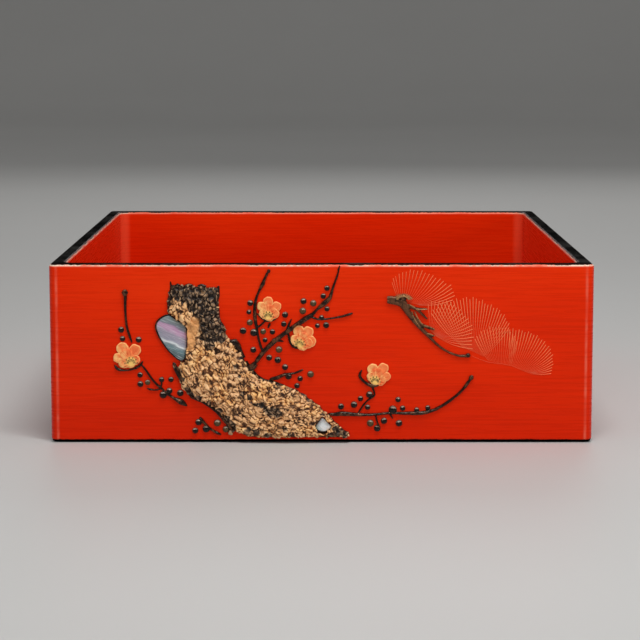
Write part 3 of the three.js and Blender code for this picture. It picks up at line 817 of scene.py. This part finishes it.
def petals_shape(flower, settings):
    """Overlapping petals, each a shallow cup with a wavy rim, round a low heart."""
    shape = bmesh.new()
    rim_share = shape.verts.layers.float.new("petal_rim")
    radius = flower["radius"] * picture_unit
    middle = on_front(*flower["middle"])
    step_up = (settings.rise - settings.edge) * 0.09
    petals = [*flower["petals"], (0, 0, 0.52)]
    for layer, (turn, reach, size) in enumerate(petals):
        angle = math.radians(turn)
        centre = middle + Vector((math.cos(angle), 0, math.sin(angle))) * reach * radius
        round_radius = size * radius
        top = settings.rise - LOWEST_PETAL + layer * step_up
        profile = [
            (0.0, -sink), (round_radius, -sink), (round_radius, settings.edge * 0.8),
            (round_radius * 0.97, settings.edge), (round_radius * 0.90, top * 0.86),
            (round_radius * 0.78, top), (round_radius * 0.55, top * 0.97),
            (round_radius * 0.28, top * 0.88), (0.0, top * 0.84),
        ]
        for vert in spun(shape, profile, centre, 36):
            offset = vert.co - centre
            offset.y = 0
            share = offset.length / round_radius
            vert[rim_share] = share * (0 if layer == len(flower["petals"]) else 1)
            wave = noise.noise(Vector((offset.x * 900, layer * 3.7, offset.z * 900)))
            vert.co += offset * (0.11 * wave * share)
    bmesh.ops.recalc_face_normals(shape, faces=shape.faces)
    flower_map = shape.loops.layers.uv.new("Flower")
    heart = on_front(*flower["heart"])
    for face in shape.faces:
        for loop in face.loops:
            offset = (loop.vert.co - heart) / radius
            loop[flower_map].uv = (offset.x, offset.z)
    return shape


# A blossom's stamens: how many, their first turn and sweep in degrees, and their radius
STAMENS = 11
STAMEN_START = 4
STAMEN_SWEEP = 172
STAMEN_RADIUS = 0.00007
# The bead at a stamen's end, as (height over its middle, radius)
STAMEN_BEAD = ((-0.00028, 0.00008), (0, 0.00023), (0.00028, 0.00008))


def stamens(flower, surface, settings):
    """Short strokes that fan out of the heart over the petals, each with a bead at its end."""
    radius = flower["radius"] * picture_unit
    heart = on_front(*flower["heart"])
    strokes = []

    def over_petals(x, z):
        hit = surface.ray_cast(Vector((x, front - 0.01, z)), Vector((0, 1, 0)))[0]
        lift = front - hit.y if hit else settings.edge
        return Vector((x, front - lift - 0.00002, z))

    for number in range(STAMENS):
        angle = math.radians(STAMEN_START + STAMEN_SWEEP * number / (STAMENS - 1))
        reach = radius * (0.36 + 0.08 * math.cos(3.1 * number))
        start = radius * 0.16
        points = []
        for share in (0.0, 0.5, 1.0):
            out = start + (reach - start) * share
            x = heart.x + math.cos(angle) * out
            z = heart.z - radius * 0.12 + math.sin(angle) * out
            points.append((over_petals(x, z), STAMEN_RADIUS))
        tip = points[-1][0]
        bead = [(tip + Vector((0, 0, height)), thick) for height, thick in STAMEN_BEAD]
        strokes += [points, bead]
    return strokes


def petal_finish(settings):
    """Cream petals flushed with coral to the right, veined, with a yellow heart."""
    material, place = new_finish(
        "petal_finish", Specular_IOR_Level=0.4, Specular_Tint=(1.0, 0.7, 0.45))
    tree = place.tree
    flower = add_node(tree, "ShaderNodeUVMap", {}, uv_map="Flower")
    across, up = apart(flower)[:2]
    out = add_node(tree, "ShaderNodeVectorMath", {0: flower}, "Value", operation="LENGTH")
    angle = up.reckoned("ARCTAN2", across)
    polar = add_node(tree, "ShaderNodeCombineXYZ", {0: angle * 7.5, 1: out})
    fans = mottle(stretched(polar, (1.0, 1.6, 1.0)), distortion=0.5)
    blush = mottle(place, 420.0)
    flush = across * 0.55 + up * 0.16 + blush.eased(0.3, 0.7, -0.2, 0.5)
    flush += apart(place)[0].eased(-0.072, -0.068, 0.28, 0.0)
    finish = tinted(flush.eased(-0.2, 0.55), settings.cream, settings.coral)
    rim = kept_value(place, "petal_rim")
    layers = [
        (fans.eased(0.50, 0.60) * out.eased(0.25, 1.3, 0.95, 0.15), settings.vein),
        (rim.eased(0.80, 0.86) * rim.eased(0.90, 0.97, 0.75, 0.0), toned(settings.cream, 1.25)),
        (rim.eased(0.95, 1.0, 0.0, 0.7), settings.vein),
        (out.eased(0.2, 0.5, 0.9, 0.0), settings.heart)]
    for share, rgb in layers:
        finish = tinted(share, finish, rgb)
    return painted(
        material, Base_Color=finish, Roughness=blush.eased(0.3, 0.7, 0.34, 0.48),
        Normal=relief(fans, 0.00005))


def stamen_finish(settings):
    """Dark lacquer of the stamens, uneven in tone."""
    material, place = new_finish("stamen_finish", Roughness=0.4)
    stops = [(0.35, settings.stamen), (0.7, toned(settings.stamen, 3))]
    return painted(material, Base_Color=banded(mottle(place, 1800.0), stops))


# Twigs and pine wood

TWIGS = ("left_upper", "left_lower", "foot_left", "upper", "middle", "right")


def wood_shape(node, settings, ridges):
    """Twig with knots and lengthwise unevenness."""
    def knot_move(vert, lift):
        knots = noise.noise(vert.co * 520) + 0.5 * noise.noise(vert.co * 1300)
        along = vert.co.x * 700 + vert.co.z * 900
        furrows = ridges * noise.noise(Vector((along, 0, vert.co.z * 150)))
        ease = smooth_step(0.0, 0.0005, lift)
        return vert.normal * settings.knots * ease * (knots + furrows)

    return swollen(finely_meshed(merged_copy(node), settings.fineness), knot_move)


def twig_finish(name, settings, light, light_share, grain_scale):
    """Black-brown raised lacquer, worn or dusted with a lighter colour, most on its ridges."""
    material, place = new_finish(
        name, Specular_IOR_Level=0.5, Specular_Tint=(0.75, 0.62, 0.52))
    dust = mottle(place, 2400.0, 3.0, 0.7)
    drift = mottle(stretched(place, grain_scale))
    ridge = apart(place)[1].eased(front - 0.0011, front - 0.0005, 0.14, 0.0)
    amount = dust * 0.4 + drift * 0.7 + ridge
    share = amount.eased(0.70 - light_share, 0.84 - light_share, 0.0, 0.9)
    return painted(
        material, Base_Color=tinted(share, settings.wood, light), Metallic=share * 0.4,
        Roughness=dust.eased(0.3, 0.7, 0.2, 0.38), Normal=relief(dust + drift, 0.00006))


# Small strokes beside the twigs, on the trunk and on the pine wood, as (x, z, width) points
TWIG_STROKES = {
    "feet": [
        [(-38.4, 43.8, 3.4), (-40.1, 42.0, 4.2), (-42.2, 40.5, 3.6)],
        [(-30.2, 34.1, 1.4), (-28.7, 34.7, 2.2), (-27.0, 35.3, 1.8)]],
    "spur": [[(-28.4, 57.2, 2.4), (-26.5, 57.8, 2.6), (-24.6, 57.2, 1.5), (-22.2, 56.8, 0.6)]],
    "sprig": [[(-29.9, 67.5, 0.9), (-30.5, 66.2, 1.3), (-31.2, 64.7, 0.8)]],
    "tips": [
        [(-31.0, 97.2, 1.6), (-30.6, 98.2, 2.2), (-30.4, 98.9, 1.2)],
        [(-34.5, 89.5, 1.6), (-34.0, 90.7, 2.5), (-33.4, 92.0, 1.5)],
        [(-114.4, 83.6, 2.0), (-114.3, 85.5, 4.0), (-114.3, 87.0, 2.2)],
        [(84.4, 48.7, 1.8), (85.6, 48.6, 3.0), (86.5, 48.3, 1.6)],
        [(86.6, 34.4, 1.8), (87.5, 35.5, 3.0), (88.1, 36.6, 1.6)],
        [(9.7, 98.4, 1.2), (10.2, 100.0, 0.9), (10.6, 101.2, 0.7)]],
}
TRUNK_RIDGES = [
    [(-87.4, 88.7, 1.4), (-87.6, 90.3, 1.1), (-87.8, 91.9, 0.6)],
    [(-84.9, 89.4, 1.2), (-83.6, 90.1, 1.6), (-82.4, 89.5, 1.2)],
    [(-79.4, 89.3, 1.4), (-77.0, 89.9, 2.0), (-74.7, 89.4, 1.4)],
    [(-71.8, 89.2, 1.3), (-69.8, 89.8, 1.8), (-67.1, 89.0, 1.3)],
    [(-61.2, 86.6, 1.8), (-60.1, 88.2, 1.8), (-59.7, 89.3, 0.9)],
    [(-53.3, 56.5, 3.0), (-50.5, 56.4, 4.4), (-48.6, 54.3, 3.4), (-47.2, 51.2, 2.2),
     (-45.1, 47.3, 1.6)],
    [(-86.3, 43.4, 1.6), (-84.8, 40.5, 3.2), (-82.4, 36.1, 3.4), (-79.9, 31.3, 2.8),
     (-78.3, 28.1, 1.8)],
    [(-78.9, 28.1, 1.4), (-75.7, 23.9, 2.0), (-69.8, 21.2, 1.6), (-65.2, 18.5, 2.0),
     (-61.4, 15.2, 1.6), (-58.1, 12.0, 2.4), (-54.6, 8.0, 2.8), (-52.6, 3.9, 2.2)],
    [(-43.9, 45.2, 1.2), (-41.3, 40.5, 1.8), (-37.5, 36.6, 1.3), (-33.7, 33.9, 1.7),
     (-27.9, 32.8, 1.2), (-22.3, 30.5, 1.8), (-18.2, 28.1, 1.2)],
]
PINE_HEAD = [
    [(38.3, 82.3, 2.2), (40.6, 82.2, 2.8), (43.5, 81.7, 2.6), (46.4, 80.5, 2.8),
     (49.4, 79.1, 2.4)],
    [(38.3, 80.3, 2.2), (40.6, 80.1, 2.8), (43.5, 79.5, 2.6), (47.0, 78.2, 2.8),
     (50.3, 76.2, 2.4)],
]
PINE_LINES = [
    [(51.2, 78.5, 0.7), (53.9, 76.9, 0.9), (55.5, 75.5, 0.9), (57.9, 75.7, 0.8),
     (61.6, 75.8, 0.6)],
    [(52.6, 74.5, 0.6), (53.3, 71.5, 0.8), (55.3, 68.0, 0.8), (57.9, 64.2, 0.7)],
    [(54.1, 74.5, 0.6), (56.0, 70.5, 0.8), (57.9, 67.7, 0.8), (59.9, 66.2, 0.8),
     (62.6, 65.6, 0.7), (65.8, 64.0, 0.6)],
    [(60.8, 61.7, 0.6), (63.2, 61.2, 0.8), (65.8, 60.1, 0.6)],
    [(38.1, 82.4, 0.8), (40.6, 82.6, 0.9), (43.8, 81.8, 0.7)],
]
PINE_LINE_LIFT = 0.0007

# Spikes fanned over the pine's head: turns in degrees, and each spike as (share of its
# length, lift, radius)
PINE_CAP = {"middle": (47.4, 81.4), "turns": (8, 172), "reach": (2.2, 4.6), "count": 13}
CAP_SPIKE = ((0, 0.0016, 0.00022), (0.5, 0.00105, 0.00024), (1, 0.0005, 0.00012))


def tapered_strokes(lines, lift=0.0):
    """Strokes on the front from (x, z, width) points."""
    return [
        [(on_front(x, z, lift + 0.25 * width * picture_unit), 0.5 * width * picture_unit)
         for x, z, width in line]
        for line in lines]


def cap_strokes(cap):
    """Short gold spikes fanned out over the knot at the pine's head."""
    strokes = []
    first, last = cap["turns"]
    near, far = cap["reach"]
    for number in range(cap["count"]):
        turn = math.radians(first + (last - first) * (number / (cap["count"] - 1)))
        points = []
        for step, lift, radius in CAP_SPIKE:
            reach = near + (far - near) * step
            x = cap["middle"][0] + 1.25 * reach * math.cos(turn)
            z = cap["middle"][1] + 0.8 * reach * math.sin(turn)
            points.append((on_front(x, z, lift), radius))
        strokes.append(points)
    return strokes


# Buds

OLIVE_BUDS = {
    entry["node"] for entry in frame["record"]["subparts"] if entry["material_slot"] == "bud_olive"}
BUDS = sorted(name for name in frame["nodes"] if name.startswith("bud_"))

# Buds that the CAD twigs hold as one with their wood, as (x, z, size beside the upper twig's)
GROWN_BUDS = {
    "left_lower": [(-93.5, 34.2, 0.8), (-89, 27.6, 0.95), (-92.6, 25.2, 1.1)],
    "foot_left": [(-72, 9, 1), (-67.6, 5, 1.1)],
    "upper": [(-39.4, 62, 1.15), (0, 70.8, 0.75)],
    "middle": [(-19.3, 36.2, 1)],
    "right": [(28, 25.4, 1), (41.7, 16.4, 1.25), (32.6, 5.4, 1), (62.2, 17.6, 0.75),
              (55.7, 16.4, 0.75)],
}
# How far a grown bud stands round the twig's own
PROUD = 0.00012


def bud_size(node):
    """Middle on the wall, radius and rise of a CAD bud."""
    low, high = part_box(node)
    middle = Vector(((low.x + high.x) / 2, front, (low.z + high.z) / 2))
    return middle, (high.x - low.x) / 2, front - low.y


def bud_shape(middle, radius, rise, settings):
    """Round dome in a low collar."""
    collar = rise * settings.collar_share
    shape = bmesh.new()
    dome = [
        (radius * 0.90 * math.cos(turn), collar * 0.8 + (rise - collar * 0.8) * math.sin(turn))
        for turn in (math.radians(18 * step) for step in range(5))]
    profile = [
        (0.0, -sink), (radius, -sink), (radius, collar * 0.6), (radius * 0.94, collar), *dome,
        (0.0, rise)]
    spun(shape, profile, middle, settings.steps)
    bmesh.ops.recalc_face_normals(shape, faces=shape.faces)
    dome_share = shape.verts.layers.float.new("dome")
    crown = shape.verts.layers.float.new("crown")
    for vert in shape.verts:
        lift = (front - vert.co.y) / rise
        vert[dome_share] = lift
        vert[crown] = (vert.co.z - middle.z) / radius * (1 if lift > settings.collar_share else 0)
    return shape


def bud_finish(name, body, settings):
    """Glossy lacquer with a painted highlight on its upper side, over a bronze collar."""
    material, place = new_finish(
        name, Roughness=0.2, Specular_IOR_Level=0.4, Specular_Tint=(0.8, 0.75, 0.7))
    clouds = mottle(place, 1500.0)
    lacquer = banded(clouds, [(0.35, body), (0.75, toned(body, 2.0))])
    # Painted highlight: the upper side of the dome made pale
    crown = kept_value(place, "crown")
    highlighted = (crown + clouds.eased(0.3, 0.7, -0.2, 0.2)).eased(0.32, 0.66, 0.0, 0.75)
    highlighted *= crown.eased(0.62, 0.85, 1.0, 0.3)
    lacquer = tinted(highlighted, lacquer, settings.highlighted)
    collar = kept_value(place, "dome").eased(0.16, 0.34, 0.85, 0.0)
    return painted(
        material, Base_Color=tinted(collar, lacquer, settings.collar),
        Normal=relief(clouds, 0.00001))


# Pine needles: the line that each fan's needles start from, and the line that its tips lie on

FANS = {
    "first": {
        "count": 22, "bow": 0.06,
        "roots": [(44.7, 81.6), (52.3, 79.2), (57.5, 78.0)],
        "tips": [(40.9, 91.6), (42.0, 95.2), (48.4, 98.1), (53.2, 99.2), (59.8, 98.1),
                (67.4, 94.6), (71.2, 92.5), (76.2, 89.3), (77.4, 85.7), (77.3, 81.3)],
    },
    "second": {
        "count": 21, "bow": 0.07,
        "roots": [(63.5, 63.3), (67.0, 59.7)],
        "tips": [(62.0, 79.2), (65.5, 81.1), (71.0, 80.7), (77.1, 79.2), (82.1, 74.2),
                (86.7, 69.2), (88.5, 64.5), (88.6, 59.1), (88.1, 52.3)],
    },
    "third": {
        "count": 30, "bow": 0.07,
        "roots": [(82.8, 53.2), (89.3, 50.3), (94.6, 47.9)],
        "tips": [(63.4, 73.9), (66.9, 78.0), (71.0, 80.1), (78.4, 81.9), (84.9, 83.0),
                (89.1, 82.8), (93.5, 81.2), (96.9, 79.1), (102.0, 77.2), (106.1, 73.3),
                (108.7, 69.2), (109.9, 65.6)],
    },
    "fourth": {
        "count": 18, "bow": 0.07,
        "roots": [(97.5, 45.5), (104.6, 43.8), (110.4, 42.6)],
        "tips": [(89.2, 58.5), (92.7, 62.7), (98.0, 65.6), (103.8, 66.2), (108.5, 64.7),
                (112.0, 61.5), (113.8, 56.8)],
    },
    "fifth": {
        "count": 24, "bow": 0.06,
        "roots": [(109.9, 42.6), (116.3, 40.2), (123.4, 37.9)],
        "tips": [(109.7, 64.2), (112.6, 64.5), (117.6, 63.3), (122.6, 62.1), (127.1, 59.5),
                (130.8, 56.5), (134.0, 52.6), (135.0, 49.1), (135.4, 45.2), (135.2, 41.4),
                (134.2, 37.9)],
    },
}

# How far the middles of the needles lie over the front, in metres
NEEDLE_LIFT = 0.00006

# Faint line that the lower needles grow out of
NEEDLE_LINE = [
    (87.8, 48.2), (92.8, 46.0), (98.1, 44.4), (105.7, 43.5), (111.6, 42.3),
    (116.3, 40.2), (122.8, 37.6), (128.7, 37.0)]


def spaced(points, count):
    """Places at even steps along a line of points."""
    lengths = [math.dist(a, b) for a, b in zip(points, points[1:])]
    whole = sum(lengths)
    places = []
    for number in range(count):
        left = whole * number / (count - 1)
        for (a, b), reach in zip(zip(points, points[1:]), lengths):
            if left <= reach + 1e-9:
                break
            left -= reach
        share = left / reach
        places.append((a[0] + (b[0] - a[0]) * share, a[1] + (b[1] - a[1]) * share))
    return places


def fan_mesh(name, fan, settings):
    """Needles that spread from a short line of roots, slightly bowed, thickest at their tips."""
    strokes = []
    roots = spaced(fan["roots"], fan["count"])
    for number, (root, tip) in enumerate(zip(roots, spaced(fan["tips"], fan["count"]))):
        root, tip = Vector(root), Vector(tip)
        away = tip - root
        aside = Vector((away.y, -away.x)) * (fan["bow"] * away.x / away.length)
        trim = 0.98 + 0.025 * math.sin(2.3 * number)
        points = []
        for share in (0.0, 0.25, 0.5, 0.75, 1.0):
            place = root + away * share * trim + aside * math.sin(math.pi * share)
            radius = settings.tip * (settings.base_share + (1 - settings.base_share) * share)
            points.append((on_front(place.x, place.y, NEEDLE_LIFT), radius))
        strokes.append(points)
    mesh = strokes_mesh(name, strokes)
    middle = on_front(*spaced(fan["roots"], 3)[1])
    reaches = [(vertex.co - middle).length for vertex in mesh.vertices]
    far = max(reaches)
    shares = mesh.attributes.new("reach", "FLOAT", "POINT")
    shares.data.foreach_set("value", [reach / far for reach in reaches])
    return mesh


def needle_finish(settings):
    """Gold lines, bright at their tips and faint at their inner ends."""
    material, place = new_finish("needle_finish", Specular_IOR_Level=0.5)
    dust = mottle(place, 3000.0, 2.0)
    reach = kept_value(place, "reach") + dust.eased(0.3, 0.7, -0.12, 0.12)
    return painted(
        material, Base_Color=tinted(reach.eased(0.25, 0.85), settings.faint, settings.gold),
        Roughness=dust.eased(0.3, 0.7, 0.28, 0.45))


# The stage: softboxes as (name, place, size, watts, whether gloss mirrors it)

LAMPS = [
    ("top_softbox", (0.10, -0.50, 0.95), (0.45, 0.28), 6.2, True),
    ("left_softbox", (-0.95, -1.0, 0.25), (0.40, 0.40), 1.6, False),
    ("right_softbox", (0.95, -1.0, 0.25), (0.40, 0.40), 3.4, False),
    ("front_softbox", (0.10, -1.5, 0.12), (0.90, 0.14), 2.2, False),
    ("back_softbox", (0.1, 1.3, 0.8), (1.0, 0.6), 3.0, True),
]
LAMP_AIM = Vector((0, 0, 0.04))
WORLD_LIGHT = 0.30
# The floor's reach, the radius that it bends up with and the wall over that, in metres
FLOOR_SPREAD, FLOOR_BEND, FLOOR_WALL = 3.0, 1.2, 1.6
SENSOR_WIDTH = 36.0


def floor_shape():
    """Round floor that bends up into a wall all round."""
    shape = bmesh.new()
    edge = FLOOR_SPREAD + FLOOR_BEND
    profile = [(0.0, 0.0), (FLOOR_SPREAD, 0.0)]
    profile += [
        (FLOOR_SPREAD + FLOOR_BEND * math.sin(turn), FLOOR_BEND * (1 - math.cos(turn)))
        for turn in (math.radians(15 * step) for step in range(1, 7))]
    profile.append((edge, FLOOR_BEND + FLOOR_WALL))
    places = [(reach, 0, height) for reach, height in profile]
    turned_round(shape, places, (0, 0, 0), (0, 0, 1), 48, 1e-6)
    bmesh.ops.recalc_face_normals(shape, faces=shape.faces)
    return shape


def floor_finish(settings):
    """Pale floor, hardly uneven in tone."""
    material, place = new_finish("studio_floor_finish", Roughness=0.55)
    stops = [(0.3, toned(settings.floor, 0.97)), (0.7, settings.floor)]
    return painted(material, Base_Color=banded(mottle(place, 3.0), stops))


# Operators

class PieceOperator(Operator):
    """Base of the operators that make pieces."""

    bl_options = {"REGISTER", "UNDO"}


class LACQUER_OT_box(PieceOperator):
    """Make the lacquered box"""

    bl_idname = "lacquer.box"
    bl_label = "Lacquered Box"

    def execute(self, context):
        settings = context.scene.box_body_settings
        piece = finished("lacquered_box", lacquered_box_shape(settings),
                         [lacquer_finish(settings), black_edge_finish(settings)],
                         ["box_body"])
        shading = piece.modifiers.new("Flat faces stay flat", "WEIGHTED_NORMAL")
        shading.mode = "FACE_AREA"
        shading.weight = 100
        return {"FINISHED"}


class LACQUER_OT_trunk(PieceOperator):
    """Make the bark of the plum trunk"""

    bl_idname = "lacquer.trunk"
    bl_label = "Plum Trunk"

    def execute(self, context):
        settings = context.scene.trunk_settings
        finished("trunk_bark", bark_shape(settings), [bark_finish(settings)],
                 ["plum_trunk"])
        return {"FINISHED"}


class LACQUER_OT_shells(PieceOperator):
    """Make the two shells and the dark seams round them"""

    bl_idname = "lacquer.shells"
    bl_label = "Shell Inlays"

    def execute(self, context):
        settings = context.scene.shell_settings
        stops = {
            "large": [
                (0.14, toned(settings.teal, 0.5)), (0.25, settings.teal),
                (0.30, (0.26, 0.31, 0.34)), (0.34, settings.silver), (0.39, (0.34, 0.33, 0.42)),
                (0.52, (0.36, 0.31, 0.40)), (0.59, settings.violet), (0.66, settings.violet),
                (0.71, (0.24, 0.25, 0.30)), (0.82, (0.26, 0.31, 0.30)), (0.92, settings.teal)],
            "small": [
                (0.1, toned(settings.teal, 2.2)), (0.35, settings.silver),
                (0.8, settings.silver)],
        }
        branch = context.scene.branch_settings
        seam_finish = twig_finish("seam_finish", branch, branch.bronze, 0.0, (500, 500, 500))
        for name, shell in SHELLS.items():
            shape = merged_copy(shell["node"])
            seam = seam_stroke(shape, shell["heavy"], settings.seam)
            bmesh.ops.join_triangles(
                shape, faces=shape.faces, cmp_seam=False, cmp_sharp=False, cmp_uvs=False,
                cmp_vcols=False, cmp_materials=False, angle_face_threshold=0.9,
                angle_shape_threshold=1.2)
            finish = pearl_finish(name, shell, settings, stops[name])
            pearl = finished(f"pearl_{name}", shape, [finish], [shell["node"]])
            rounding = pearl.modifiers.new("Polish", "SUBSURF")
            rounding.levels = 2
            rounding.render_levels = 2
            stroke_piece(f"shell_seam_{name}", [seam], 2, seam_finish, closed=True)
        return {"FINISHED"}


class LACQUER_OT_blossoms(PieceOperator):
    """Make the petals and stamens of the four blossoms"""

    bl_idname = "lacquer.blossoms"
    bl_label = "Blossoms"

    def execute(self, context):
        settings = context.scene.blossom_settings
        petals, filaments = petal_finish(settings), stamen_finish(settings)
        for name, flower in BLOSSOMS.items():
            shape = petals_shape(flower, settings)
            surface = BVHTree.FromBMesh(shape)
            finished(f"petals_{name}", shape, [petals], [f"blossom_{name}"])
            stroke_piece(f"stamens_{name}", stamens(flower, surface, settings), 0, filaments)
        return {"FINISHED"}


class LACQUER_OT_twigs(PieceOperator):
    """Make the six plum twigs, their small spurs, the trunk's ridges and the pine wood"""

    bl_idname = "lacquer.twigs"
    bl_label = "Twigs and Pine Wood"

    def execute(self, context):
        settings = context.scene.branch_settings
        plum = twig_finish("plum_twig_finish", settings, settings.bronze, 0.04, (420, 420, 420))
        for name in TWIGS:
            shape = wood_shape(f"branch_{name}", settings, 0.3)
            finished(f"twig_{name}", shape, [plum], [f"branch_{name}"])
        for name, lines in TWIG_STROKES.items():
            stroke_piece(f"twig_{name}", tapered_strokes(lines), 2, plum)
        stroke_piece("trunk_ridges", tapered_strokes(TRUNK_RIDGES), 2, plum)
        pine = twig_finish("pine_wood_finish", settings, settings.bronze, 0.14, (600, 600, 250))
        shape = wood_shape("pine_branch", settings, 0.9)
        finished("pine_wood", shape, [pine], ["pine_branch"])
        stroke_piece("pine_head", tapered_strokes(PINE_HEAD), 2, pine)
        gilt = twig_finish("gilt_finish", settings, settings.gold, 0.16, (900, 900, 900))
        cap = twig_finish("cap_finish", settings, settings.gold, 0.36, (900, 900, 900))
        stroke_piece("pine_cap", cap_strokes(PINE_CAP), 1, cap)
        stroke_piece("pine_gold_lines", tapered_strokes(PINE_LINES, PINE_LINE_LIFT), 1, gilt)
        return {"FINISHED"}


class LACQUER_OT_buds(PieceOperator):
    """Make the buds"""

    bl_idname = "lacquer.buds"
    bl_label = "Buds"

    def execute(self, context):
        settings = context.scene.bud_settings
        black = bud_finish("bud_black_finish", tuple(settings.black), settings)
        olive = bud_finish("bud_olive_finish", tuple(settings.olive), settings)
        for node in BUDS:
            finish, slot = (olive, "bud_olive") if node in OLIVE_BUDS else (black, "bud_black")
            shape = bud_shape(*bud_size(node), settings)
            finished(node.replace("bud_", "bead_"), shape, [finish], [node])
        _, radius, rise = bud_size("bud_upper_1")
        for name, buds in GROWN_BUDS.items():
            for number, (x, z, size) in enumerate(buds, 1):
                shape = bud_shape(
                    on_front(x, z), (radius + PROUD) * size, (rise + PROUD) * size, settings)
                finished(f"bead_grown_{name}_{number}", shape, [black])
        return {"FINISHED"}


class LACQUER_OT_needles(PieceOperator):
    """Make the fans of pine needles"""

    bl_idname = "lacquer.needles"
    bl_label = "Pine Needles"

    def execute(self, context):
        settings = context.scene.needle_settings
        gold = needle_finish(settings)
        for name, fan in FANS.items():
            mesh = fan_mesh(f"pine_needles_{name}", fan, settings)
            finished(f"pine_needles_{name}", mesh, [gold])
        radius = settings.tip * settings.base_share
        line = [(on_front(x, z, NEEDLE_LIFT), radius) for x, z in NEEDLE_LINE]
        stroke_piece("pine_needle_line", [line], 0, gold)
        return {"FINISHED"}


class LACQUER_OT_stage(PieceOperator):
    """Make the floor, the lights and the camera"""

    bl_idname = "lacquer.stage"
    bl_label = "Stage"

    def execute(self, context):
        settings = context.scene.stage_settings
        scene = context.scene
        floor = new_object("studio_floor", floor_shape(), [floor_finish(settings)])

        scene.view_settings.view_transform = "Standard"
        scene.world = bpy.data.worlds.new("Studio")
        scene.world.use_nodes = True
        background = scene.world.node_tree.nodes["Background"]
        background.inputs["Color"].default_value = (1.0, 1.0, 1.0, 1.0)
        background.inputs["Strength"].default_value = WORLD_LIGHT

        for name, place, size, power, mirrored in LAMPS:
            lamp = bpy.data.lights.new(name, "AREA")
            lamp.shape = "RECTANGLE"
            lamp.size, lamp.size_y = size
            lamp.energy = power
            holder = bpy.data.objects.new(name, lamp)
            holder.visible_glossy = mirrored
            holder.location = place
            aim = LAMP_AIM - Vector(place)
            holder.rotation_euler = aim.to_track_quat("-Z", "Y").to_euler()
            scene.collection.objects.link(holder)

        view = bpy.data.cameras.new("photo_camera")
        view.lens = settings.lens
        view.sensor_width = SENSOR_WIDTH
        view.dof.use_dof = False
        camera = bpy.data.objects.new("photo_camera", view)
        camera.location = settings.camera_place
        camera.rotation_euler = settings.camera_turn
        scene.collection.objects.link(camera)
        scene.camera = camera
        return {"FINISHED"}


OPERATORS = (
    LACQUER_OT_box, LACQUER_OT_trunk, LACQUER_OT_shells, LACQUER_OT_blossoms, LACQUER_OT_twigs,
    LACQUER_OT_buds, LACQUER_OT_needles, LACQUER_OT_stage,
)


class LACQUER_PT_panel(Panel):
    """Lists the pieces of the lacquer box and their sizes and colours"""

    bl_idname = "LACQUER_PT_panel"
    bl_label = "Lacquer Box"
    bl_space_type = "VIEW_3D"
    bl_region_type = "UI"
    bl_category = "Lacquer Box"

    def draw(self, context):
        for operator, (name, group) in zip(OPERATORS, SETTINGS.items()):
            part = self.layout.box()
            part.operator(operator.bl_idname)
            settings = getattr(context.scene, name)
            for field in group.__annotations__:
                part.prop(settings, field)


def register():
    """Registers the settings, the operators and the panel."""
    for name, group in SETTINGS.items():
        bpy.utils.register_class(group)
        setattr(bpy.types.Scene, name, PointerProperty(type=group))
    for operator in OPERATORS:
        bpy.utils.register_class(operator)
    bpy.utils.register_class(LACQUER_PT_panel)


def unregister():
    """Takes them away again."""
    bpy.utils.unregister_class(LACQUER_PT_panel)
    for operator in reversed(OPERATORS):
        bpy.utils.unregister_class(operator)
    for name, group in reversed(SETTINGS.items()):
        delattr(bpy.types.Scene, name)
        bpy.utils.unregister_class(group)


def main():
    """Makes every piece and the stage."""
    register()
    bpy.ops.lacquer.stage()
    bpy.ops.lacquer.box()
    bpy.ops.lacquer.trunk()
    bpy.ops.lacquer.shells()
    bpy.ops.lacquer.blossoms()
    bpy.ops.lacquer.twigs()
    bpy.ops.lacquer.buds()
    bpy.ops.lacquer.needles()


if __name__ == "__main__":
    main()
